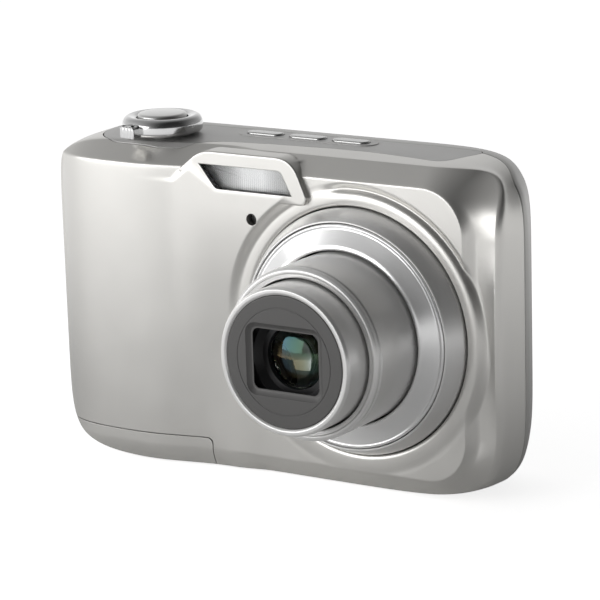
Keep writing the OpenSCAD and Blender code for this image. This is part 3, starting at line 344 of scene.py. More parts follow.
def carve(obj: bpy.types.Object, tools: Sequence[Tool]) -> None:
    """Cuts, joins or keeps a solid's overlap with other solids, one after the other.

    Args:
        obj: the solid that is worked on.
        tools: rows of DIFFERENCE, UNION or INTERSECT and the skin of the other solid.
    """
    others = [build("tool", skin) for _, skin in tools]
    for (how, _), other in zip(tools, others):
        step = obj.modifiers.new(how, "BOOLEAN")
        step.operation, step.object, step.solver = how, other, "MANIFOLD"
    bpy.context.view_layer.update()
    done = obj.evaluated_get(bpy.context.evaluated_depsgraph_get())
    mesh = bpy.data.meshes.new_from_object(done)
    mesh.name = obj.name
    obj.modifiers.clear()
    obj.data = mesh
    for other in others:
        bpy.data.objects.remove(other)
    soften(obj)


def cut(*skins: Skin) -> list[Tool]:
    """Rows for carve that take each skin away."""
    return [("DIFFERENCE", skin) for skin in skins]


def weld(*skins: Skin) -> list[Tool]:
    """Rows for carve that add each skin."""
    return [("UNION", skin) for skin in skins]


def keep(*skins: Skin) -> list[Tool]:
    """Rows for carve that keep only the overlap with each skin."""
    return [("INTERSECT", skin) for skin in skins]


# ---- finishes ----


class Nodes:
    """Short hand for a material's node tree."""

    def __init__(self, name: str) -> None:
        """Makes a material with an empty tree and an output.

        Args:
            name: name of the material.
        """
        self.material = bpy.data.materials.new(name)
        self.material.use_nodes = True
        self.tree = self.material.node_tree
        self.tree.nodes.clear()
        self.out = self.tree.nodes.new("ShaderNodeOutputMaterial")

    @classmethod
    def of_tree(cls, tree: bpy.types.NodeTree, output: str) -> "Nodes":
        """Short hand for a tree that exists, emptied and given an output node.

        Args:
            tree: the tree.
            output: type name of its output node.

        Returns:
            The short hand, without a material.
        """
        n = cls.__new__(cls)
        n.material, n.tree = None, tree
        tree.nodes.clear()
        n.out = tree.nodes.new(output)
        return n

    def add(self, kind: str, settings: dict | None = None, **inputs: object) -> bpy.types.Node:
        """Adds a node.

        Args:
            kind: type name without the ShaderNode prefix.
            settings: properties of the node.
            inputs: socket values or linked sockets, with underscores for spaces.

        Returns:
            The node.
        """
        node = self.tree.nodes.new("ShaderNode" + kind)
        for key, value in (settings or {}).items():
            setattr(node, key, value)
        for key, value in inputs.items():
            name = key.replace("_", " ")
            socket = node.inputs[int(name[1:])] if name[0] == "i" and name[1:].isdigit() else node.inputs[name]
            if isinstance(value, bpy.types.NodeSocket):
                self.tree.links.new(value, socket)
            else:
                socket.default_value = value
        return node

    def math(self, operation: str, a: object, b: object = 0.0) -> bpy.types.NodeSocket:
        """Result of one arithmetic step on a and b."""
        return self.add("Math", {"operation": operation}, i0=a, i1=b).outputs[0]

    def noise(self, place: bpy.types.NodeSocket, scale: float, detail: float = 3.0) -> bpy.types.NodeSocket:
        """Value of a noise whose features are one millimetre over scale wide."""
        node = self.add("TexNoise", Vector=place, Scale=scale / MM, Detail=detail, Roughness=0.6)
        return node.outputs[0]

    def wave(self, x: bpy.types.NodeSocket, ribs: float) -> bpy.types.NodeSocket:
        """Sine of a place along the body, at so many radians for each millimetre."""
        return self.math("SINE", self.math("MULTIPLY", x, ribs / MM))

    def close(self, node: bpy.types.Node) -> bpy.types.Material | None:
        """Leads a node to the output, and gives the material if the tree belongs to one."""
        self.tree.links.new(node.outputs[0], self.out.inputs[0])
        return self.material

    def carry(
        self, value: bpy.types.NodeSocket, a: float, b: float, low: float, high: float, kind: str = "SMOOTHSTEP"
    ) -> bpy.types.NodeSocket:
        """Value carried from low at a to high at b, and held beyond them.

        Args:
            value: the socket that is carried.
            a: value that gives low.
            b: value that gives high.
            low: result at a.
            high: result at b.
            kind: SMOOTHSTEP or LINEAR.

        Returns:
            Socket with the result.
        """
        settings = {"interpolation_type": kind, "clamp": True}
        node = self.add("MapRange", settings, Value=value, From_Min=a, From_Max=b, To_Min=low, To_Max=high)
        return node.outputs[0]

    def span(self, noise: bpy.types.NodeSocket, low: float, high: float) -> bpy.types.NodeSocket:
        """Noise value between 0.3 and 0.7 carried to low and high along a straight line."""
        return self.carry(noise, 0.3, 0.7, low, high, "LINEAR")


@dataclass(frozen=True)
class RibbedPanel:
    """Bright reflector behind a ribbed pane, whose colour carries painted light and shade: its tone swells from dark at
    one end to bright in the middle.
    """

    name: str
    slot: str
    painted_light_tones: Sequence[Pair]
    ribs: float = 15.0

    def material(self) -> bpy.types.Material:
        """The finish as a material: painted light and shade as a tone by place along the body, and ribs as a sine of
        that place.

        Returns:
            The material.
        """
        n = Nodes(self.name)
        place = n.add("TexCoord").outputs["Object"]
        x = n.add("SeparateXYZ", Vector=place).outputs[0]
        low, high = self.painted_light_tones[0][0], self.painted_light_tones[-1][0]
        share = n.carry(x, low * MM, high * MM, 0.0, 1.0, "LINEAR")
        # Painted light and shade: a grey ramp along the body, dark at the ends and bright in the middle, darkened in
        # stripes by the ribs' sine below
        painted_light_ramp = n.add("ValToRGB", Fac=share)
        bar = painted_light_ramp.color_ramp
        for at, tone in self.painted_light_tones[1:-1]:
            bar.elements.new((at - low) / (high - low)).color = (tone, tone, tone, 1)
        for k in (0, -1):
            bar.elements[k].color = (self.painted_light_tones[k][1],) * 3 + (1,)
        wave = n.wave(x, self.ribs)
        line = n.carry(wave, -1.0, 1.0, 0.82, 1.0, "LINEAR")
        tint = n.add("MixRGB", {"blend_type": "MULTIPLY"}, Fac=1.0, Color1=painted_light_ramp.outputs[0], Color2=line)
        bump = n.add("Bump", Strength=0.6, Distance=0.01 * MM, Height=wave)
        rough = n.span(n.noise(place, 1.0), 0.3, 0.4)
        colour, relief = tint.outputs[0], bump.outputs[0]
        return n.close(n.add("BsdfPrincipled", Base_Color=colour, Roughness=rough, Normal=relief, Metallic=0.3))


class Grain(Enum):
    """Relief of a finish."""

    FINE = "fine random grain"
    TURNED = "fine rings about the lens axis"
    DIAL = "fine rings about the dial's axis"
    BRUSHED = "strokes along the body"


@dataclass(frozen=True)
class Finish:
    """Opaque finish: colour and roughness that drift a little, relief and rounded seams."""

    name: str
    slot: str
    colour: Triple
    metallic: float = 0.0
    roughness: float = 0.4
    drift: float = 0.03
    uneven: float = 0.05
    grain: Grain = Grain.FINE
    grain_scale: float = 4.0
    relief: float = 0.01
    round_edge: float = 0.12
    coat: float = 0.0

    def height(self, n: Nodes, place: bpy.types.NodeSocket) -> bpy.types.NodeSocket:
        """Height field of the relief.

        Args:
            n: the material's tree.
            place: Object coordinates, in metres.

        Returns:
            Socket with the height.
        """
        if self.grain in (Grain.TURNED, Grain.DIAL):
            lens = self.grain is Grain.TURNED
            u, v = LENS_AXIS if lens else DIAL_AXIS
            centre = (-u * MM, 0.0, -v * MM) if lens else (-u * MM, -v * MM, 0.0)
            moved = n.add("Mapping", Vector=place, Location=centre)
            x, y, z = n.add("SeparateXYZ", Vector=moved.outputs[0]).outputs[:3]
            across, along = (z, y) if lens else (y, z)
            r = n.math("SQRT", n.math("ADD", n.math("MULTIPLY", x, x), n.math("MULTIPLY", across, across)))
            lines = n.add("CombineXYZ", X=r, Y=along).outputs[0]
            return n.noise(lines, self.grain_scale, 2.0)
        if self.grain is Grain.BRUSHED:
            long = n.add("Mapping", Vector=place, Scale=(0.04, 1.0, 1.0))
            return n.noise(long.outputs[0], self.grain_scale)
        return n.noise(place, self.grain_scale)

    def material(self) -> bpy.types.Material:
        """The finish as a material: relief over rounded edges, colour and roughness that drift a little.

        Returns:
            The material.
        """
        n = Nodes(self.name)
        place = n.add("TexCoord").outputs["Object"]
        slow = n.noise(place, DRIFT_SCALE, 2.0)
        fine = self.height(n, place)
        low, high = (tuple(min(1.0, c * k) for c in self.colour) + (1.0,) for k in (1 - self.drift, 1 + self.drift))
        tint = n.add("MixRGB", Fac=n.span(slow, 0.0, 1.0), Color1=low, Color2=high).outputs[0]
        rough = n.span(slow, self.roughness - self.uneven, self.roughness + self.uneven)
        rounded_edge = n.add("Bevel", {"samples": 4}, Radius=self.round_edge * MM).outputs[0]
        bump = n.add("Bump", Strength=1.0, Distance=self.relief * MM, Height=fine, Normal=rounded_edge)
        layers = {"Metallic": self.metallic, "Coat_Weight": self.coat, "Coat_Roughness": 0.1}
        return n.close(n.add("BsdfPrincipled", Base_Color=tint, Roughness=rough, Normal=bump.outputs[0], **layers))


@dataclass(frozen=True)
class Clear:
    """See-through finish, with a thin film that tints its gloss and a slight relief."""

    name: str
    slot: str
    colour: Triple
    ior: float = 1.5
    roughness: float = 0.02
    film: float = 0.0
    ribs: float = 0.0
    relief: float = 0.0

    def material(self) -> bpy.types.Material:
        """The finish as a material: glass whose height is a sine of the distance along the body.

        Returns:
            The material.
        """
        n = Nodes(self.name)
        place = n.add("TexCoord").outputs["Object"]
        if self.ribs:
            high = n.wave(n.add("SeparateXYZ", Vector=place).outputs[0], self.ribs)
        else:
            high = n.noise(place, 1.0)
        bump = n.add("Bump", Strength=1.0, Distance=max(self.relief, 0.0005) * MM, Height=high)
        slow = n.noise(place, 0.3, 2.0)
        rough = n.span(slow, self.roughness * 0.7, self.roughness * 1.3)
        glass = {"Base_Color": self.colour + (1.0,), "Transmission_Weight": 1.0, "IOR": self.ior}
        film = {"Thin_Film_Thickness": self.film, "Thin_Film_IOR": 1.5}
        return n.close(n.add("BsdfPrincipled", Roughness=rough, Normal=bump.outputs[0], **glass, **film))


SILVER = Finish(
    "silver_paint", "silver_paint", (0.68, 0.67, 0.645), 0.85, 0.34, 0.012, 0.02, Grain.FINE, 9.0, 0.0035, 0.15
)
GREY = Finish("grey_paint", "grey_paint", (0.5, 0.495, 0.48), 0.6, 0.4, 0.015, 0.03, Grain.FINE, 9.0, 0.004, 0.15)
TOP_GREY = Finish("top_grey", "top_grey", (0.58, 0.575, 0.565), 0.5, 0.45, 0.02, 0.03, Grain.FINE, 3.0, 0.03, 0.12)
CHROME = Finish("bright_trim", "bright_trim", (0.84, 0.84, 0.84), 1.0, 0.1, 0.01, 0.03, Grain.FINE, 1.0, 0.0006, 0.08)
DISH = Finish(
    "polished_dish", "bright_trim", (0.94, 0.94, 0.94), 0.55, 0.2, 0.01, 0.03, Grain.TURNED, 3.0, 0.0004, 0.08
)
SATIN = Finish(
    "satin_metal", "satin_metal", (0.86, 0.855, 0.845), 0.5, 0.32, 0.02, 0.03, Grain.TURNED, 10.0, 0.0012, 0.08
)
BUTTON_CAP = Finish("satin_cap", "satin_metal", (0.7, 0.7, 0.69), 1.0, 0.3, 0.02, 0.03, Grain.DIAL, 10.0, 0.001, 0.08)
DIAL_SIDE = Finish(
    "dial_chrome", "bright_trim", (0.62, 0.62, 0.62), 1.0, 0.14, 0.01, 0.03, Grain.DIAL, 6.0, 0.0006, 0.08
)
DARK_METAL = Finish(
    "dark_metal", "dark_metal", (0.12, 0.118, 0.116), 0.35, 0.5, 0.04, 0.04, Grain.TURNED, 12.0, 0.002, 0.08
)
PLATED = Finish(
    "plated_plastic", "plated_plastic", (0.5, 0.5, 0.495), 0.9, 0.26, 0.02, 0.03, Grain.FINE, 3.0, 0.001, 0.1
)
BLACK = Finish(
    "black_plastic", "black_plastic", (0.022, 0.022, 0.023), 0.0, 0.45, 0.1, 0.06, Grain.FINE, 7.0, 0.006, 0.06
)
WHITE_PART = Finish("white_part", "white_part", (0.82, 0.8, 0.75), 0.0, 0.4, 0.02, 0.04, Grain.FINE, 3.0, 0.002, 0.05)
BOARD = Finish(
    "board_green", "board_green", (0.03, 0.17, 0.08), 0.0, 0.35, 0.2, 0.08, Grain.BRUSHED, 2.0, 0.01, 0.05, 0.4
)
STEEL = Finish("steel_part", "steel_part", (0.56, 0.56, 0.55), 1.0, 0.32, 0.04, 0.06, Grain.BRUSHED, 8.0, 0.003, 0.06)
BRASS = Finish("brass_part", "brass_part", (0.7, 0.53, 0.22), 1.0, 0.3, 0.05, 0.06, Grain.FINE, 5.0, 0.002, 0.05)
CELL = Finish(
    "cell_jacket", "cell_jacket", (0.62, 0.3, 0.07), 0.2, 0.28, 0.06, 0.05, Grain.BRUSHED, 3.0, 0.002, 0.05, 0.6
)
SCREEN = Finish(
    "screen_black", "screen_black", (0.012, 0.012, 0.015), 0.0, 0.08, 0.05, 0.02, Grain.FINE, 0.5, 0.0006, 0.1, 0.5
)
# Painted light and shade of the flash reflector: tone at places along the body, dark at the ends and bright in the
# middle
FLASH_PAINTED_LIGHT_TONES = ((-13.0, 0.06), (-10.5, 0.12), (-7.5, 0.42), (-4.5, 0.9), (-0.5, 0.95), (2.5, 0.6), (6.5, 0.32))
REFLECTOR_WITH_PAINTED_LIGHT = RibbedPanel("flash_reflector", "bright_trim", FLASH_PAINTED_LIGHT_TONES)
FLASH_CLEAR = Clear("clear_cover", "clear_cover", (0.98, 0.985, 0.985), 1.3, 0.02, 0.0, 15.0, 0.003)
LENS_CLEAR = Clear("lens_glass", "lens_glass", (0.93, 0.98, 0.95), 1.62, 0.01, 355.0)
LAMP_WINDOW = Finish(
    "lamp_window", "screen_black", (0.03, 0.03, 0.03), 0.0, 0.15, 0.1, 0.03, Grain.FINE, 2.0, 0.001, 0.05, 0.5
)
Looks = Finish | Clear | RibbedPanel
MADE: dict[str, bpy.types.Material] = {}


def dress(obj: bpy.types.Object, finish: Looks) -> None:
    """Gives an object one finish for its whole surface.

    Args:
        obj: the object.
        finish: its finish. Each is made once and shared.
    """
    if finish.name not in MADE:
        MADE[finish.name] = finish.material()
    obj.data.materials.clear()
    obj.data.materials.append(MADE[finish.name])
    slots = np.zeros(len(obj.data.polygons), np.int32)
    obj.data.polygons.foreach_set("material_index", slots)


def piece(
    node: str,
    form: str,
    skin: Skin,
    finish: Looks,
    body: str = "root",
    tools: Sequence[Tool] = (),
    crease: float = CREASE,
) -> None:
    """Builds the piece that stands for a solid, carves it, dresses it and lets it ride on its body.

    Args:
        node: the solid.
        form: last word of the piece's name, after the solid's.
        skin: its surface.
        finish: its finish.
        body: the body that it rides on.
        tools: rows for carve.
        crease: angle from which an edge of the skin is kept sharp.
    """
    obj = build(f"{node}_{form}", skin, crease)
    if tools:
        carve(obj, tools)
    dress(obj, finish)
    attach(obj, body)
    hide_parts(node)
    LOG.info("%s rides on %s", obj.name, body)


# ---- the moulded body ----


@dataclass(frozen=True)
class BodyForm:
    """Moulded form of the body: an outline seen from the front, and depths over it.

    A name with depth in it is a distance in front of the origin, and one that ends in _in is a distance in
    from the outline. The draws are how far the rear face is in, at the lens side, the grip side and the top.
    """

    body_w: float = 94.0
    body_h: float = 59.2
    rear_y: float = 13.0
    wall: float = 1.4
    seam_y: float = -1.8
    top_power: float = 9.0
    base_power: float = 6.5
    base_taper: float = 0.3
    draw_lens: float = 9.0
    draw_grip: float = 7.0
    draw_z: float = 2.2
    side_in: float = 0.6
    grip_depth: float = 12.8
    grip_x: float = -28.0
    valley_depth: float = 10.2
    valley_x: float = -9.0
    valley_blend: float = 8.0
    pad_depth: float = 10.3
    pad_side: float = 8.0
    pad_margin: float = 3.9
    pad_r: float = 8.0
    ridge_depth: float = 9.2
    ridge_in: float = 2.4
    ridge_top_in: float = 0.5
    bevel_h: float = 3.8
    bevel_slope: float = 1.3
    lens_x: float = LENS_AXIS[0]
    lens_z: float = LENS_AXIS[1]
    hole_r: float = 22.1
    lip_depth: float = 10.4
    fillet_r: float = 26.4
    flat_y: float = 6.0
    brow_depth: float = 11.4
    corner_tight: float = 0.55
    crease: float = 0.4
    flank_rise: float = 0.5
    top_fall: float = 3.0
    base_fall: float = 2.3
    groove_r: float = 25.1
    groove_drop: float = 0.4
    groove_half: float = 0.5
    stations: int = 640
    crowding: float = 0.55

    @property
    def half_w(self) -> float:
        """Half of the greatest width."""
        return self.body_w / 2 + self.side_in + self.base_taper / 3

    @property
    def half_h(self) -> float:
        """Half of the height."""
        return self.body_h / 2

    def outline(self, dx: Array | float = 0.0, dz: Array | float = 0.0, tight: float = 0.0) -> Array:
        """Superellipse with a higher power above than below, narrowed to the base and drawn in.

        Args:
            dx: how far the sides are drawn in, one value or one for each station.
            dz: how far the top and the base are drawn in.
            tight: by what share the corners on the lens side are squarer.

        Returns:
            Rows of x and z, one for each station. Stations crowd towards the corners.
        """
        u = np.arange(self.stations) * 2 * np.pi / self.stations
        t = u + self.crowding * np.sin(4 * u) / 4
        p = np.arctan2(self.half_h * np.sin(t), self.half_w * np.cos(t))
        n = np.where(np.sin(t) >= 0, self.top_power, self.base_power)
        n = n * (1 + tight * smooth(np.cos(t) * 2) * smooth(np.sin(t) * 2))
        r = ((np.abs(np.cos(p)) / self.half_w) ** n + (np.abs(np.sin(p)) / self.half_h) ** n) ** (-1 / n)
        z = self.half_h + r * np.sin(p)
        x = r * np.cos(p) * (1 - self.base_taper / self.half_w * (1 - z / self.body_h))
        return np.stack([x * (1 - dx / self.half_w), self.half_h + (z - self.half_h) * (1 - dz / self.half_h)], 1)

    def seam(self) -> Array:
        """Depth of the seam at each station: straight at the sides, back at the top and base.

        Returns:
            The place of the seam along y, one for each station.
        """
        q = np.abs(self.outline()[:, 1] - self.half_h) / self.half_h
        t = np.maximum(0, (q - 0.86) / 0.14)
        return self.seam_y + (self.flat_y - self.seam_y) * t * t

    def grip(self, x: Array) -> Array:
        """Depth of the grip: a rounded end, a crest, and a cosine down to the hollow beside the lens.

        Args:
            x: places along the body.

        Returns:
            The depth at each place.
        """
        q = np.clip((self.grip_x - x) / (self.half_w + self.grip_x), 0, 0.985)
        end = -self.seam_y + (self.grip_depth + self.seam_y) * (1 - q**3) ** (1 / 2.2)
        t = np.clip((x - self.grip_x) / (self.valley_x - self.grip_x), 0, 1)
        fall = mix(self.grip_depth, self.valley_depth, (1 - np.cos(np.pi * t)) / 2)
        beside = mix(self.valley_depth, self.pad_depth, smooth((x - self.valley_x) / self.valley_blend))
        return np.where(x < self.grip_x, end, np.where(x < self.valley_x, fall, beside))

    def pad_fall(self, x: Array, z: Array) -> Array:
        """Fall from the pad to the ridge, by the share of the way from the pad's edge outwards.

        At the side a hollow: low (1 - max(0, 1 - t / 0.4)^2), less a parabola up from t = 0.4. Above and
        below a straight slope of 3.0 t or 2.3 t with a rounded start. The two are mixed by the angle.

        Args:
            x: places along the body.
            z: heights, one for each place.

        Returns:
            How far the face lies behind the pad at each place.
        """
        dx = x - (self.half_w - self.pad_side - self.pad_r)
        dz = np.abs(z - self.half_h) - (self.half_h - self.pad_margin - self.pad_r)
        away = np.hypot(np.maximum(dx, 0), np.maximum(dz, 0)) - self.pad_r
        turn = np.arctan2(np.maximum(dz, 0), np.maximum(dx, 0.001)) / (np.pi / 2)
        k = np.where(x < self.valley_x + 6, 1.0, smooth((turn + 0.04) / 0.62))
        w = mix(self.pad_side - self.ridge_in, self.pad_margin - self.ridge_top_in, k)
        t = np.clip(away / w, 0, 1)
        low = self.pad_depth - self.ridge_depth + 0.3
        flank = np.maximum(t - self.crease, 0) ** 2 / (1 - self.crease) ** 2
        rise = self.flank_rise * flank * (1 - smooth((dz + 11) / 11))
        side = low * (1 - np.maximum(1 - t / self.crease, 0) ** 2) - rise
        fall = np.where(z > self.half_h, self.top_fall, self.base_fall)
        slope = fall * (ramp(away / w - 0.03, 0.06) - ramp(-0.03, 0.06))
        return mix(side, np.maximum(slope, 0), k)

    def face(self, x: Array, z: Array) -> Array:
        """Depth of the front face: the grip with its bevels on one side, the pad on the other.

        Depth = mix(grip - 1.3 ramp(z - 55.4) - 0.084 max(0, 4 - z)^2, grip - pad_fall, s), with s the smooth
        step over the valley. Round the flash max(0, ramp(top - depth) - 0.02) is added, times the shares
        inside the bezel's slanting edges and above the base, so that below and left of it the two blend.

        Args:
            x: places along the body.
            z: heights, one for each place.

        Returns:
            The depth at each place.
        """
        s = smooth((x - self.valley_x) / self.valley_blend)
        bevel = ramp(z - (self.body_h - self.bevel_h), 0.2) * self.bevel_slope
        foot = 0.14 * np.maximum(0, 4 - z) ** 2
        depth = mix(self.grip(x) - bevel - foot * 0.6, self.grip(x) - self.pad_fall(x, z), s)
        # left is outside the bezel's left edge, right inside its right edge, over past its lower left one.
        left = (z - 54.9) * 0.76 - (x + 17.6) * 0.65
        right = np.minimum((8.3 - x) * 0.93 + (55.0 - z) * 0.37, (x + 29) * 0.25)
        inside = np.minimum(np.minimum(np.maximum(-left, (53.6 - z) * 1.2), right), 58.4 - z)
        over = np.minimum((x + 17.6) * 0.525 + (z - 54.6) * 0.85 - 1.5, z - 51.3)
        top = self.brow_depth + 0.08 - 0.12 * smooth(np.maximum(over, x - 4) / 1.5)
        raised = ramp(top - depth, 0.35) - 0.02
        return depth + np.maximum(raised, 0) * smooth((inside - 0.4) / 1.0) * smooth((z - 14) / 35)

    def front(self, x: Array, z: Array) -> Array:
        """Depth with the collar round the lens: near the hole a ring, then the face.

        Depth = mix(lip - (0.03 + 0.14 w) (r - 23.3)^2, face, smooth((r - 24.3) / 2)) - groove, with
        groove = 0.4 w exp(-((r - 25.1) / 0.5)^2). w is 1 from the lens's pad side up to its top, where the
        ring is rounder and the groove parts the two, and it fades to 0 elsewhere.

        Args:
            x: places along the body.
            z: heights, one for each place.

        Returns:
            The depth at each place.
        """
        r = np.hypot(x - self.lens_x, z - self.lens_z)
        a = np.degrees(np.arctan2(z - self.lens_z, x - self.lens_x))
        where = smooth((a + 30) / 40) * smooth((106 - a) / 14)
        collar = self.lip_depth - (0.03 + 0.14 * where) * (r - 23.3) ** 2
        groove = self.groove_drop * np.exp(-(((r - self.groove_r) / self.groove_half) ** 2)) * where
        return mix(collar, self.face(x, z), smooth((r - 24.3) / 2.0)) - groove

    def ring(self, flat: Array, depth: Array | float) -> Array:
        """Ring of points over rows of x and z, at a depth in front of the origin."""
        return np.stack([flat[:, 0], np.broadcast_to(-depth, flat[:, 0].shape), flat[:, 1]], 1)

    def about_lens(self, r: float) -> Array:
        """Circle about the lens axis whose points lie towards the stations of the ridge.

        Args:
            r: radius of the circle.

        Returns:
            Rows of x and z, one for each station.
        """
        e = self.outline(self.ridge_in, self.ridge_top_in, self.corner_tight)
        a = np.arctan2(e[:, 1] - self.lens_z, e[:, 0] - self.lens_x)
        return np.stack([self.lens_x + r * np.cos(a), self.lens_z + r * np.sin(a)], 1)

    def front_rings(self, hole: bool) -> list[Array]:
        """Rings of the front, from the hole or the lens axis out to the seam.

        Args:
            hole: whether the rings start with the wall of the hole.

        Returns:
            Rings in order. The rows next to the ridge are averaged with their neighbours, which rounds it.
        """
        rings = []
        if hole:
            lip = [(self.hole_r, 6.8), (self.hole_r, 9.9), (self.hole_r + 0.06, 10.15), (self.hole_r + 0.25, 10.33)]
            rings = [self.ring(self.about_lens(r), d) for r, d in lip]
        for r in np.linspace(self.hole_r + 0.7, self.fillet_r, 25):
            flat = self.about_lens(float(r))
            rings.append(self.ring(flat, self.front(flat[:, 0], flat[:, 1])))
        start, end = self.about_lens(self.fillet_r), self.outline(self.ridge_in, self.ridge_top_in, self.corner_tight)
        for s in 1 - (1 - np.linspace(0, 1, 100)[1:]) ** 1.15:
            flat = mix(start, end, s)
            rings.append(self.ring(flat, self.front(flat[:, 0], flat[:, 1])))
        ridge, seam = rings[-1][:, 1], self.seam()
        for t in (0.012, 0.03, 0.06, 0.1, 0.16, 0.24, 0.34, 0.45, 0.56, 0.68, 0.8, 0.9):
            dx = self.side_in + 0.75 * (1 - t) ** 1.15 + 1.05 * (1 - t) ** 21
            dz = 0.5 * max(0.0, 1 - t / 0.55) ** 1.45
            flat = self.outline(dx, dz, self.corner_tight * (1 - t) ** 4)
            rings.append(self.ring(flat, -mix(ridge, seam, t)))
        block = np.stack(rings)
        k = len(rings) - 13
        block[k - 1 : k + 2] = (block[k - 2 : k + 1] + 2 * block[k - 1 : k + 2] + block[k : k + 3]) / 4
        return list(block)

    def seam_lip(self, way: float) -> list[Array]:
        """Rounded edge of a cover at the seam, from the outside in; way is -1 in front and 1 behind.

        Args:
            way: -1 for the front cover and 1 for the rear one.

        Returns:
            Rings in order.
        """
        seam = self.seam()
        rows = [(0.0, 0.32), (0.03, 0.16), (0.12, 0.06), (0.6, 0.05), (self.wall, 0.05)]
        return [self.ring(self.outline(self.side_in + d, d), -(seam + way * s)) for d, s in rows]

    def rear_rings(self, inner: float = 0.0) -> list[Array]:
        """Rings of the rear, from the seam to the rear face, on a curve through eight shares.

        Args:
            inner: distance of the surface inside the outer one.

        Returns:
            Rings in order.
        """
        shares = [(0, 0), (0.035, 0.12), (0.15, 0.28), (0.3, 0.47), (0.47, 0.67), (0.67, 0.85), (0.87, 0.967), (1, 1)]
        seam, x = self.seam(), self.outline()[:, 0]
        draw = mix(self.draw_grip, self.draw_lens, smooth((x + self.half_w) / self.body_w))
        rings = []
        for u, v in through(shares, 7 if not inner else 2):
            flat = self.outline(self.side_in + inner + draw * u, inner + self.draw_z * u * u)
            rings.append(self.ring(flat, -mix(seam, self.rear_y - inner, v)))
        return rings

    def whole(self) -> Skin:
        """Closed skin of the whole form, from the lens axis to the middle of the rear face.

        Returns:
            The skin, without an opening.
        """
        rear = self.rear_rings()
        middle = rear[-1].mean(0)
        rows = self.front_rings(False) + rear + [mix(middle, rear[-1], s) for s in (0.9, 0.4)]
        return loft(np.stack(rows))

    def inside(self, dx: float, dz: float, near: float = -16.0, far: float = 17.0) -> Skin:
        """Prism of the outline drawn in by dx and dz, between two depths."""
        rows = [self.ring(self.outline(dx, dz), -y) for y in (near, far)]
        return loft(np.stack(rows))


def box(lo: Triple, hi: Triple) -> Skin:
    """Block between two corners: a rectangle carried up."""
    flat = np.array([(lo[0], lo[1]), (hi[0], lo[1]), (hi[0], hi[1]), (lo[0], hi[1])], float)
    return prism(flat, [(lo[2], 0), (hi[2], 0)], Axis.UP)


def rod(axis: Axis, centre: Triple, r: float, low: float, high: float, n: int = 64) -> Skin:
    """Round bar: a circle carried along an axis from low to high."""
    return prism(circle(r, n), [(low, 0), (high, 0)], axis, centre)


